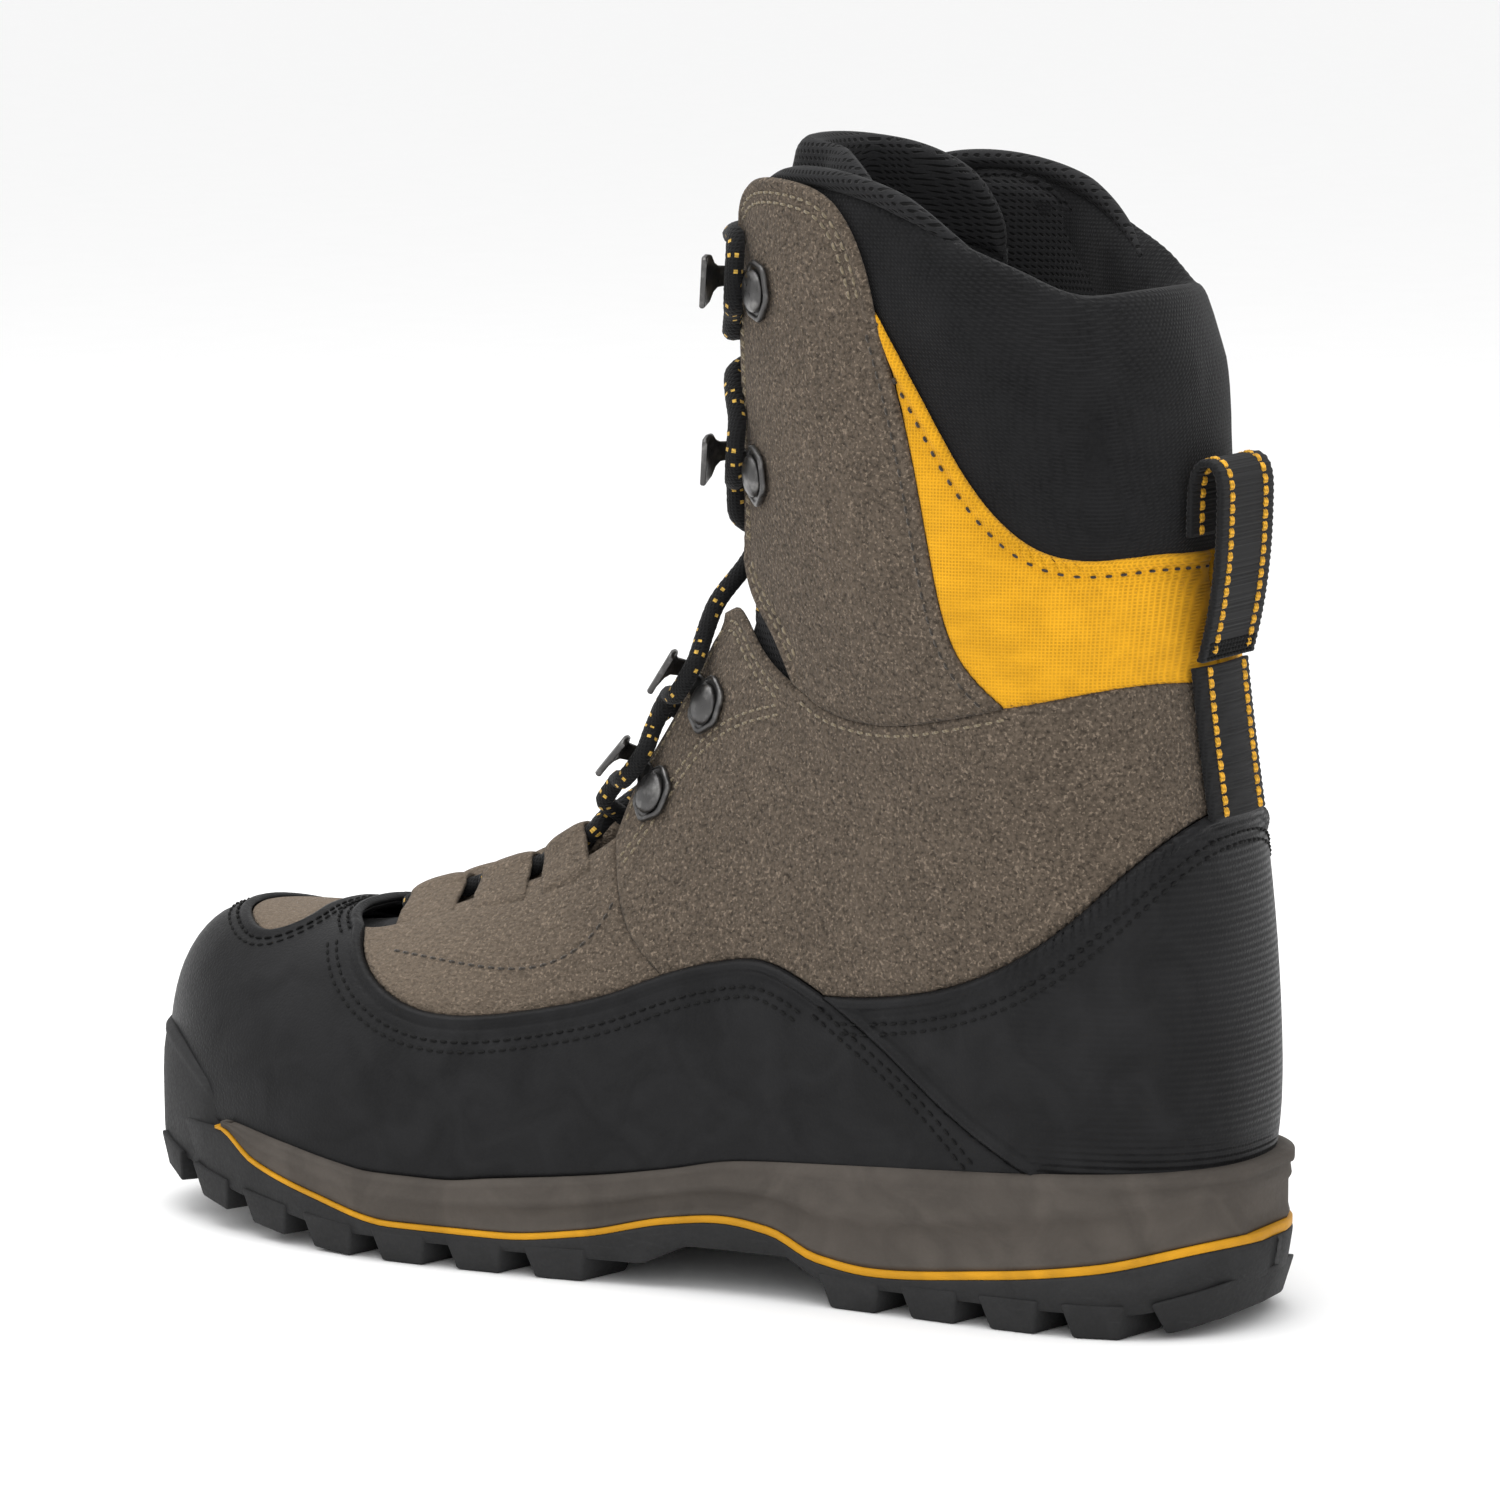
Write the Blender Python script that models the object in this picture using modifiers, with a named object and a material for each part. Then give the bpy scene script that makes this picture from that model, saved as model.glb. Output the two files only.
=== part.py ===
"""Mountaineering boot for the right foot: sole unit, lasted upper, speed-hook lacing and pull loop.

Sizes are in millimetres and become metres when a mesh is made. +Z is up, the toe points to -Y and
the boot's inner (medial) side is +X.

Every piece of the upper lies on one surface, the last, at its own depth. A place on the last is
(u, w): u counts the sections from the toe tip (0) over the instep to the top of the shaft (14), and
w runs round a section from the front ridge (0) over the medial side to the sole or the back (1).
The lateral side has negative w, so w = -1 and w = 1 are the same line.
"""
import math

import bmesh
import bpy
import numpy as np
from mathutils import Matrix, Vector
from mathutils.geometry import delaunay_2d_cdt

MM = 0.001
ORIGIN = np.array((1.25, 4.61, 0.0))      # added to every point, so the box stands centred on the origin

# Sections of the last, one row each: front y z, back y z, medial and lateral half width, centre x,
# how far back the widest place is, and the roundness of the front and back halves
SECTIONS = (
    (-148.5, 45, -148.5, 35, 0.5, 0.5, 8, 0.50, 2.2, 2.4),
    (-147, 57, -147.5, 20, 10, 10, 8, 0.55, 2.2, 2.6),
    (-142, 66, -142, 11, 18, 18, 7, 0.62, 2.3, 2.8),
    (-126, 74, -122, 5, 33, 33, 5, 0.70, 2.4, 3.0),
    (-100, 75, -90, 3, 44, 46, 3, 0.74, 2.3, 3.2),
    (-74, 82, -50, 3, 47, 52, 1, 0.76, 2.1, 3.2),
    (-50, 91, -5, 3, 43, 48, 0, 0.76, 2.0, 3.0),
    (-32, 104, 45, 3, 38, 42, 0, 0.72, 1.9, 2.8),
    (-19, 123, 100, 3, 36, 38, 0, 0.68, 1.9, 2.6),
    (-7, 143, 133, 24, 37, 38, 0, 0.64, 1.9, 2.4),
    (5, 162, 138, 62, 38, 39, 0, 0.60, 2.0, 2.3),
    (9, 182, 134, 100, 41, 42, 0, 0.56, 2.0, 2.3),
    (10, 202, 128, 140, 44, 45, 0, 0.53, 2.0, 2.2),
    (10, 222, 124, 180, 45, 46, 0, 0.50, 2.0, 2.1),
    (10, 242, 121, 215, 46, 47, 0, 0.50, 2.0, 2.1),
    (11, 265, 115, 255, 46, 47, 0, 0.50, 2.0, 2.1),
)
SECTION_PLACES = (0, 0.5, 1, 2, 3, 4, 5, 6, 7, 8, 9, 10, 11, 12, 13, 14)
U_PER_SECTION = 12                      # grid lines of the tabulated last
W_CELLS = 96

# Plan outlines of the sole and of the boards inside, anticlockwise from the toe tip
SOLE_PLAN = (
    (7, -152.8), (23, -148.8), (34.2, -138), (43.4, -120), (49, -100), (52, -75), (51, -50), (46, -12),
    (41, 20), (39, 55), (38.5, 88), (36, 112), (29, 128), (16, 139.5), (0, 143.6), (-16, 139.5),
    (-29.5, 128), (-37.5, 110), (-40.5, 85), (-42, 55), (-46.5, 15), (-52.5, -20), (-54.5, -50),
    (-51, -78), (-42, -107), (-30, -128), (-14, -145),
)
BOARD_PLAN = (
    (7, -137), (16, -135), (25, -127), (34, -108), (39, -85), (39.3, -60), (36.5, -30), (31, 8),
    (28, 45), (27, 85), (24, 106), (17, 120), (8, 126.5), (0, 128), (-8, 126.5), (-17, 120),
    (-25, 106), (-28.5, 85), (-31, 45), (-35.5, 10), (-41, -30), (-42, -55), (-38, -82),
    (-30, -105), (-20, -121), (-6, -133.5),
)

# Heights along the sole: the ground side of the outsole, the accent line and the midsole's top edge
GROUND_LINE = ((-153, 13), (-136, 9.4), (-117, 5.6), (-94, 2.2), (-75, 0), (120, 0), (133, 2.2), (144, 6))
ACCENT_LINE = (
    (-153, 25.5), (-116, 25), (-104, 18.5), (-84, 13), (-62, 8.6), (-34, 8.6), (-12, 11), (8, 15.5),
    (22, 17), (34, 15.5), (46, 10.5), (60, 8.8), (90, 11.5), (115, 15), (144, 20.5),
)
MIDSOLE_LINE = (
    (-153, 27), (-116, 27), (-95, 24.5), (-80, 22), (-68, 20.5), (-50, 20.5), (-36, 22), (-10, 25),
    (8, 28), (25, 31.5), (55, 33.5), (90, 35.5), (115, 37), (144, 38),
)
SOLE_STATIONS = 48
LUG_DEPTH = 5.5
BUMPER_THICKNESS = 2.2
ARCH_HEIGHT = 10.5                      # underside of the outsole between forefoot and heel
ACCENT_THICKNESS = 1.7
SHANK_THICKNESS = 1.2
BOARD_THICKNESS = 1.8
FOOTBED_THICKNESS = 4.5
FOOTBED_TOE = -134.6                    # the line about which the footbed lifts
GAP = 0.3                               # between pieces that touch
FEATHER_GAP = 1.3                       # from the midsole's top to the last at the upper's lower edge
SEAM_GAP = 0.35                         # each panel stops this far short of its seam

# Depths of the upper's layers under the last, and their thicknesses
SUEDE = (0.0, 1.8)
RAND = (0.9, 2.7)
TEXTILE = (-0.3, 1.3)
STIFFENER = (-2.7, 0.8)
LINING_DEPTH = -4.2
LINING_THICKNESS = 2.6
GUSSET = (-7.7, 0.6)
TONGUE = (-9.0, 5.0)
WING_DROP = 6.2                         # how much deeper the tongue lies where it tucks under the cuffs

# Seam lines of the medial side, toe to heel; the lateral side mirrors them
RAND_EDGE = (
    (3.40, 0.144), (3.70, 0.263), (4.20, 0.338), (5.05, 0.352), (5.75, 0.350), (6.20, 0.344),
    (6.70, 0.354), (7.00, 0.375), (7.25, 0.435), (7.30, 0.456),
)
RAND_OVERLAP = ((7.30, 0.456), (7.42, 0.54), (7.48, 0.63), (7.46, 0.705))
HEEL_EDGE = (
    (7.30, 0.456), (7.55, 0.487), (7.85, 0.525), (8.45, 0.606), (8.85, 0.662), (9.35, 0.731),
    (9.80, 0.794), (10.20, 0.869), (10.40, 0.94), (10.44, 1.0),
)
THROAT_FRONT = ((3.40, 0.144), (3.20, 0.08), (3.16, 0.0))
TOE_WINDOW = (
    (1.84, 0.0), (1.95, 0.075), (2.15, 0.131), (2.45, 0.165), (2.68, 0.135), (2.74, 0.06), (2.74, 0.0),
)
QUARTER_SEAM = ((6.20, 0.344), (6.08, 0.27), (6.12, 0.19), (6.24, 0.115))
EYELET_EDGE = ((3.40, 0.144), (3.60, 0.150), (4.4, 0.118), (5.3, 0.108), (6.24, 0.115))
INSTEP_EDGE = ((6.24, 0.115), (6.6, 0.072), (7.3, 0.060), (8.2, 0.060), (8.72, 0.058))
FLEX_NOTCH_LOW = ((8.72, 0.058), (8.96, 0.10), (8.95, 0.17), (9.03, 0.25))
FLEX_NOTCH_HIGH = ((9.05, 0.25), (9.24, 0.20), (9.32, 0.14), (9.50, 0.10))
CUFF_SEAM = ((9.05, 0.25), (9.12, 0.30), (9.30, 0.362), (9.65, 0.45), (10.15, 0.562), (10.50, 0.648))
CUFF_SEAM_BACK = ((10.50, 0.648), (10.80, 0.74), (11.00, 0.82), (11.10, 0.89), (11.12, 1.0))
CUFF_FRONT = ((9.50, 0.10), (10.6, 0.108), (11.8, 0.132), (12.8, 0.142), (13.3, 0.150))
CUFF_TOP = (
    (13.3, 0.150), (13.55, 0.20), (13.72, 0.28), (13.76, 0.36), (13.65, 0.44), (13.3, 0.48),
    (12.95, 0.494),
)
YELLOW_FRONT = ((12.95, 0.494), (12.1, 0.531), (11.15, 0.556), (10.65, 0.582), (10.50, 0.648))
YELLOW_TOP = (
    (12.95, 0.494), (12.3, 0.569), (11.85, 0.632), (11.65, 0.70), (11.68, 0.79), (11.80, 0.88),
    (11.84, 1.0),
)
COLLAR_RIM = (
    (13.70, 0.46), (13.76, 0.52), (13.60, 0.637), (13.42, 0.72), (13.34, 0.79), (13.42, 0.87),
    (13.46, 1.0),
)
COLLAR_FRONT = ((12.95, 0.494), (13.3, 0.48), (13.70, 0.46))
LINING_THROAT = (
    (3.32, 0.0), (3.6, 0.112), (5.0, 0.110), (7.0, 0.098), (9.0, 0.125), (10.6, 0.19), (13.1, 0.205),
    (13.62, 0.26),
)
LINING_RIM = (
    (13.62, 0.26), (13.9, 0.36), (13.93, 0.46), (13.85, 0.55), (13.64, 0.65), (13.50, 0.72),
    (13.45, 0.79), (13.52, 0.87), (13.56, 1.0),
)
TONGUE_EDGE = (
    (3.75, 0.0), (3.9, 0.10), (5.5, 0.14), (7.5, 0.155), (9.5, 0.21), (11, 0.31), (12.2, 0.41), (13.2, 0.43),
)
TONGUE_SPLIT = 13.2                     # the tip above this folds
TONGUE_TIP_SIDE = ((13.2, 0.43), (13.6, 0.43))
TONGUE_TIP_TOP = ((13.6, 0.43), (13.85, 0.33), (14.0, 0.16), (14.0, 0.0))
GUSSET_OUTLINE = (
    (4.3, 0.125), (6.0, 0.12), (7.6, 0.115), (8.8, 0.14), (9.6, 0.18), (9.8, 0.23), (9.2, 0.27), (8.0, 0.24),
    (6.0, 0.22), (4.6, 0.19),
)
COUNTER_EDGE = ((7.9, 0.66), (8.5, 0.65), (9.1, 0.75), (9.7, 0.86), (9.95, 1.0))
ANKLE_FOAM_OUTLINE = ((8.6, 0.34), (9.4, 0.34), (10.4, 0.40), (10.9, 0.50), (10.9, 0.66), (10.5, 0.74),
                      (9.9, 0.70), (9.3, 0.60), (8.8, 0.48))
PUFF_LIMIT = 2.85
COLLAR_FOAM_FRONT = ((11.35, 0.60), (12.0, 0.585), (12.7, 0.57), (13.1, 0.56))
COLLAR_FOAM_TOP = ((13.1, 0.56), (13.12, 0.64), (13.0, 0.72), (12.95, 0.80), (13.0, 0.9), (13.05, 1.0))
COLLAR_FOAM_BASE = ((11.35, 0.60), (11.5, 0.7), (11.6, 0.85), (11.62, 1.0))
COLLAR_FOAM = (-2.0, 4.2)
COLLAR_PUSH = 3.4                       # how far the collar foam pushes the lining into the opening

# Lacing: hooks and tunnels from the bottom up, as (u, w) of the medial side
HOOK_PLACES = ((6.90, 0.105), (8.00, 0.105), (10.75, 0.185), (12.70, 0.245))
TUNNEL_SPANS = ((3.78, 4.28), (4.55, 5.05), (5.32, 5.82))
TUNNEL_W = 0.064
TUNNEL_DEPTH = -0.4
TUNNEL_RADIUS = 4.2
TUNNEL_BORE = 3.0
TUNNEL_SIDES = 8
TUNNEL_RINGS = 3
LACE_RADIUS = 2.1
LACE_STRIDE = 12.0                      # longest straight piece of the lace's mesh
LACE_TURN = 28.0                        # and the most it turns from piece to piece, in degrees
LACE_SMOOTHING = 30
LACE_HIGH = -1.6                        # depth of the strand that crosses on top
LACE_LOW = -6.2                         # and of the one on the tongue
LACE_ON_SUEDE = 2.85                    # the lace's middle over the edges it runs across
LACE_LIPS = (0.066, 0.066, 0.114, 0.148)    # w of the suede's edge in front of each hook
AGLET_LENGTH = 16.0
AGLET_RADIUS = 1.7

# Pull loop at the back
WEBBING_WIDTH = 26.0
WEBBING_THICKNESS = 1.6
LOOP_AXIS = (127.5, 150.0)              # y z of the line about which the loop tilts

CLEAR = 1e-6


# ---------------------------------------------------------------- scene

def empty_scene():
    for thing in list(bpy.data.objects):
        bpy.data.objects.remove(thing, do_unlink=True)
    boot = bpy.data.collections.new("mountaineering_boot")
    cutters = bpy.data.collections.new("cutters")
    for group in (boot, cutters):
        bpy.context.scene.collection.children.link(group)
    return boot, cutters


def principled(name, colour, roughness, metallic=0.0):
    material = bpy.data.materials.new(name)
    material.use_nodes = True
    shader = material.node_tree.nodes["Principled BSDF"]
    shader.inputs["Base Color"].default_value = (*colour, 1.0)
    shader.inputs["Roughness"].default_value = roughness
    shader.inputs["Metallic"].default_value = metallic
    material.diffuse_color = (*colour, 1.0)
    return material


def make_materials():
    return {
        "rubber": principled("rubber", (0.045, 0.045, 0.047), 0.7),
        "accent": principled("accent", (0.60, 0.27, 0.01), 0.6),
        "midsole": principled("midsole", (0.085, 0.072, 0.062), 0.65),
        "suede": principled("suede", (0.115, 0.093, 0.073), 0.95),
        "rand": principled("rand", (0.028, 0.028, 0.030), 0.5),
        "softshell": principled("softshell", (0.020, 0.020, 0.022), 0.9),
        "yellow": principled("yellow", (0.76, 0.40, 0.02), 0.8),
        "mesh": principled("mesh", (0.025, 0.025, 0.027), 0.95),
        "foam": principled("foam", (0.30, 0.30, 0.28), 0.9),
        "board": principled("board", (0.25, 0.20, 0.13), 0.8),
        "stiffener": principled("stiffener", (0.55, 0.55, 0.52), 0.6),
        "gunmetal": principled("gunmetal", (0.16, 0.15, 0.14), 0.38, 1.0),
        "webbing": principled("webbing", (0.022, 0.022, 0.024), 0.9),
        "lace": principled("lace", (0.020, 0.020, 0.018), 0.85),
        "aglet": principled("aglet", (0.03, 0.03, 0.03), 0.3),
    }


def add_object(name, mesh, material, collection):
    mesh.materials.clear()
    mesh.materials.append(material)
    thing = bpy.data.objects.new(name, mesh)
    collection.objects.link(thing)
    return thing


def mesh_from(name, points, faces):
    mesh = bpy.data.meshes.new(name)
    mesh.from_pydata([tuple((np.asarray(p) + ORIGIN) * MM) for p in points], [], faces)
    mesh.validate()
    bm = bmesh.new()
    bm.from_mesh(mesh)
    bmesh.ops.recalc_face_normals(bm, faces=bm.faces)
    bm.to_mesh(mesh)
    bm.free()
    return mesh


def shade_round(thing, angle=35.0):
    thing.data.shade_smooth()
    thing.data.set_sharp_from_angle(angle=math.radians(angle))


def move_origin(thing, y, z):
    """Put the object's origin on the line through (y, z) along X, without moving its mesh."""
    place = Vector(((np.array((0.0, y, z)) + ORIGIN) * MM).tolist())
    place.x = 0.0
    thing.data.transform(Matrix.Translation(-place))
    thing.location = place


# ---------------------------------------------------------------- curves and the last

def natural_spline(knots, values):
    """The natural cubic spline through values at the knots, as a function."""
    knots = np.asarray(knots, float)
    values = np.asarray(values, float).reshape(len(knots), -1)
    steps = np.diff(knots)
    system = np.eye(len(knots))
    right = np.zeros_like(values)
    for i in range(1, len(knots) - 1):
        system[i, i - 1:i + 2] = steps[i - 1], 2 * (steps[i - 1] + steps[i]), steps[i]
        slope_before = (values[i] - values[i - 1]) / steps[i - 1]
        slope_after = (values[i + 1] - values[i]) / steps[i]
        right[i] = 6 * (slope_after - slope_before)
    bend = np.linalg.solve(system, right)

    def evaluate(places):
        places = np.atleast_1d(np.asarray(places, float))
        i = np.clip(np.searchsorted(knots, places, side="right") - 1, 0, len(knots) - 2)
        h = steps[i][:, None]
        a = (knots[i + 1] - places)[:, None]
        b = (places - knots[i])[:, None]
        cubic = (bend[i] * a ** 3 + bend[i + 1] * b ** 3) / (6 * h)
        return cubic + (values[i] / h - bend[i] * h / 6) * a + (values[i + 1] / h - bend[i + 1] * h / 6) * b

    return evaluate


def along(line):
    """Height at a given y from a list of (y, height): a smooth curve that never swings past a point."""
    knots, values = np.array(line, float).T
    steps = np.diff(knots)
    slopes = np.diff(values) / steps
    tangents = np.zeros(len(knots))
    for i in range(1, len(knots) - 1):
        if slopes[i - 1] * slopes[i] > 0:
            tangents[i] = 2 * slopes[i - 1] * slopes[i] / (slopes[i - 1] + slopes[i])

    def evaluate(y):
        y = np.clip(np.atleast_1d(np.asarray(y, float)), knots[0], knots[-1])
        i = np.clip(np.searchsorted(knots, y, side="right") - 1, 0, len(steps) - 1)
        h = steps[i]
        t = (y - knots[i]) / h
        rise = values[i] * (1 + 2 * t) * (1 - t) ** 2 + values[i + 1] * t * t * (3 - 2 * t)
        return rise + h * (tangents[i] * t * (1 - t) ** 2 - tangents[i + 1] * t * t * (1 - t))

    return evaluate


def half_section(row, side):
    """Points from the front ridge to the back of one side of a section, evenly spaced."""
    front_y, front_z, back_y, back_z, medial, lateral, centre, widest, front_power, back_power = row
    angle = np.linspace(0, math.pi, 241)
    power = 2 / np.where(angle < math.pi / 2, front_power, back_power)
    across = max(medial if side > 0 else lateral, 0.001) * np.sin(angle) ** power
    depth = np.sign(np.cos(angle)) * np.abs(np.cos(angle)) ** power
    share = np.where(depth > 0, widest * (1 - depth), widest - depth * (1 - widest))
    points = np.stack([
        centre + side * across,
        front_y + (back_y - front_y) * share,
        front_z + (back_z - front_z) * share,
    ], axis=1)
    walked = np.concatenate([[0], np.cumsum(np.linalg.norm(np.diff(points, axis=0), axis=1))])
    even = np.linspace(0, walked[-1], W_CELLS + 1)
    return np.stack([np.interp(even, walked, points[:, i]) for i in range(3)], axis=1)


def tabulate_last():
    places = np.linspace(0, 14, 14 * U_PER_SECTION + 1)
    rows = natural_spline(SECTION_PLACES, SECTIONS)(places)
    rings = []
    for row in rows:
        medial = half_section(row, 1)
        lateral = half_section(row, -1)
        rings.append(np.concatenate([medial, lateral[-2:0:-1]]))
    points = np.array(rings)
    along_u = np.gradient(points, axis=0)
    along_w = np.roll(points, -1, axis=1) - np.roll(points, 1, axis=1)
    normals = np.cross(along_w, along_u)
    normals /= np.maximum(np.linalg.norm(normals, axis=2, keepdims=True), CLEAR)
    return points, normals


LAST_POINTS, LAST_NORMALS = tabulate_last()


def on_last(u, w, offset=0.0):
    """World-side points (mm, before ORIGIN) on the last, `offset` outside it."""
    u = np.clip(np.atleast_1d(np.asarray(u, float)), 0, 14) * U_PER_SECTION
    w = np.mod(np.atleast_1d(np.asarray(w, float)), 2) * W_CELLS
    i = np.minimum(u.astype(int), LAST_POINTS.shape[0] - 2)
    j = w.astype(int) % (2 * W_CELLS)
    k = (j + 1) % (2 * W_CELLS)
    a = (u - i)[:, None]
    b = (w - np.floor(w))[:, None]
    blend = []
    for table in (LAST_POINTS, LAST_NORMALS):
        near = table[i, j] * (1 - b) + table[i, k] * b
        far = table[i + 1, j] * (1 - b) + table[i + 1, k] * b
        blend.append(near * (1 - a) + far * a)
    normal = blend[1] / np.linalg.norm(blend[1], axis=1, keepdims=True)
    return blend[0] + np.reshape(offset, (-1, 1)) * normal


def last_frame(u, w):
    """Point on the last with its outward normal and its directions along u and w."""
    step = 0.01
    point = on_last(u, w)[0]
    normal = on_last(u, w, 1.0)[0] - point
    up = on_last(u + step, w)[0] - on_last(u - step, w)[0]
    round_ = on_last(u, w + step)[0] - on_last(u, w - step)[0]
    return point, normal, up / (2 * step), round_ / (2 * step)


midsole_top = along(MIDSOLE_LINE)
accent_top = along(ACCENT_LINE)
ground = along(GROUND_LINE)


def feather_line(w_side_end=0.70):
    """Where the upper meets the midsole, from the toe (w = 1) to the heel (w = 1), clear on both sides."""
    def above(u, w):
        sides = on_last((u, u), (w, -w))
        return np.min(sides[:, 2] - midsole_top(sides[:, 1])) - FEATHER_GAP

    def cross(function, low, high):
        sign = function(low) > 0
        for _ in range(30):
            middle = (low + high) / 2
            if (function(middle) > 0) == sign:
                low = middle
            else:
                high = middle
        return (low + high) / 2

    toe = [(cross(lambda u: above(u, w), 0.05, 2.6), w) for w in np.linspace(1.0, 0.60, 7)]
    heel = [(cross(lambda u: above(u, w), 7.0, 9.0), w) for w in np.linspace(w_side_end, 1.0, 10)]
    us = np.linspace(toe[-1][0] + 0.3, heel[0][0] - 0.2, 18)
    side = [(u, cross(lambda w: above(u, w), 0.3, 1.0)) for u in us]
    return toe + side + heel


FEATHER = feather_line()


# ---------------------------------------------------------------- outlines on the last

def mirrored(edge):
    return tuple((u, -w) for u, w in reversed(edge))


def across_front(edge):
    """A medial edge that ends on the front ridge, carried on to the lateral side."""
    return tuple(edge) + mirrored(edge)[1:]


def across_back(edge):
    """A medial edge that ends on the back line, carried on to the lateral side."""
    return tuple(edge) + tuple((u, 2 - w) for u, w in reversed(edge))[1:]


def smooth_edge(edge, step):
    """Evenly spaced places along a smooth line through the edge's points."""
    edge = np.asarray(edge, float)
    rough = np.linalg.norm(np.diff(edge * (22.0, 150.0), axis=0), axis=1)
    knots = np.concatenate([[0], np.cumsum(rough)])
    fine = natural_spline(knots, edge)(np.linspace(0, knots[-1], 12 * len(edge)))
    points = on_last(fine[:, 0], fine[:, 1])
    walked = np.concatenate([[0], np.cumsum(np.linalg.norm(np.diff(points, axis=0), axis=1))])
    count = max(1, round(walked[-1] / step))
    even = np.linspace(0, walked[-1], count + 1)
    return np.stack([np.interp(even, walked, fine[:, i]) for i in range(2)], axis=1)


def outline(edges, step):
    """A closed outline from edges that follow each other; corners stay sharp."""
    return np.concatenate([smooth_edge(edge, step)[:-1] for edge in edges])


def chart(places):
    """A flat map of the last, with the toe tip in the middle and true to shape nearly everywhere."""
    radius = np.sinh(0.4 * places[:, 0])
    angle = math.pi * places[:, 1]
    return np.stack([radius * np.cos(angle), radius * np.sin(angle)], axis=1)


def inside(points, loop):
    x, y = points[:, 0][:, None], points[:, 1][:, None]
    ax, ay = loop[:, 0], loop[:, 1]
    bx, by = np.roll(ax, -1), np.roll(ay, -1)
    straddles = (ay > y) != (by > y)
    run = np.where(np.abs(by - ay) < 1e-12, 1e-12, by - ay)
    hits = straddles & (x < (bx - ax) * (y - ay) / run + ax)
    return hits.sum(axis=1) % 2 == 1


def drawn_in(places, gap, hole=False):
    """The outline moved inwards by gap millimetres along the last (outwards for a hole)."""
    flat = chart(places)
    area = np.sum(flat[:, 0] * np.roll(flat[:, 1], -1) - flat[:, 1] * np.roll(flat[:, 0], -1))
    turn = -1 if (area > 0) != hole else 1
    points = on_last(places[:, 0], places[:, 1])
    moved = []
    for i, (u, w) in enumerate(places):
        _, normal, up, round_ = last_frame(u, w)
        before = points[i] - points[i - 1]
        after = points[(i + 1) % len(points)] - points[i]
        tangent = before / np.linalg.norm(before) + after / np.linalg.norm(after)
        inward = turn * np.cross(normal, tangent)
        inward *= gap / max(np.linalg.norm(inward), CLEAR)
        shift = np.linalg.lstsq(np.stack([up, round_], axis=1), inward, rcond=None)[0]
        moved.append((u + shift[0], w + shift[1]))
    return np.array(moved)


def lattice(step, u_from=0.35, u_to=14.0):
    """Places spread evenly over the whole last."""
    spread = []
    u = u_from
    while u < u_to:
        ring = on_last(np.full(33, u), np.linspace(-1, 1, 33))
        length = np.linalg.norm(np.diff(ring, axis=0), axis=1).sum()
        count = max(6, 2 * round(length / step / 2))
        spread += [(u, -1 + 2 * i / count) for i in range(count)]
        ahead = on_last(np.full(3, u + 0.1), (0.0, 0.5, -0.5)) - on_last(np.full(3, u), (0.0, 0.5, -0.5))
        u += 0.1 * step / np.linalg.norm(ahead, axis=1).max()
    return np.array(spread)


def panel(name, edges, layer, material, collection, step=11.0, hole=None, depth=None):
    """A sheet of the upper: an outline on the last, filled, and thickened inwards."""
    top, thickness = layer
    loops = [drawn_in(outline(edges, step), SEAM_GAP)]
    if hole:
        loops.append(drawn_in(outline(hole, step), SEAM_GAP, hole=True))
    flat_loops = [chart(loop) for loop in loops]
    spread = lattice(step)
    keep = inside(chart(spread), flat_loops[0])
    for flat in flat_loops[1:]:
        keep &= ~inside(chart(spread), flat)
    edge_points = np.concatenate([on_last(loop[:, 0], loop[:, 1]) for loop in loops])
    spread = spread[keep]
    spots = on_last(spread[:, 0], spread[:, 1])
    reach = np.linalg.norm(spots[:, None] - edge_points[None], axis=2).min(axis=1)
    spread = spread[reach > 0.55 * step]
    places = np.concatenate(loops + [spread])
    constraints = []
    start = 0
    for loop in loops:
        count = len(loop)
        constraints += [(start + i, start + (i + 1) % count) for i in range(count)]
        start += count
    flat = chart(places)
    flat_points = [Vector(p) for p in flat]
    _, _, triangles, original, _, _ = delaunay_2d_cdt(flat_points, constraints, [], 0, 1e-9)
    triangles = np.array([[original[i][0] for i in t] for t in triangles])
    middles = flat[triangles].mean(axis=1)
    keep = inside(middles, flat_loops[0])
    for hole_loop in flat_loops[1:]:
        keep &= ~inside(middles, hole_loop)
    offset = top if depth is None else np.array([depth(u, w) for u, w in places])
    points = on_last(places[:, 0], places[:, 1], offset)
    mesh = bpy.data.meshes.new(name)
    corners = points[triangles[keep]]
    facing = np.cross(corners[:, 1] - corners[:, 0], corners[:, 2] - corners[:, 0])
    outward = on_last(places[:, 0], places[:, 1], 1.0) - on_last(places[:, 0], places[:, 1])
    agrees = np.sum(facing * outward[triangles[keep][:, 0]]) > 0
    order = (0, 1, 2) if agrees else (0, 2, 1)
    faces = [[int(t[i]) for i in order] for t in triangles[keep]]
    mesh.from_pydata(((points + ORIGIN) * MM).tolist(), [], faces)
    thing = add_object(name, mesh, material, collection)
    thicken = thing.modifiers.new("thickness", "SOLIDIFY")
    thicken.thickness = thickness * MM
    thicken.offset = -1.0
    thicken.use_even_offset = True
    thicken.use_quality_normals = True
    thing.data.shade_smooth()
    return thing


# ---------------------------------------------------------------- sole

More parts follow.
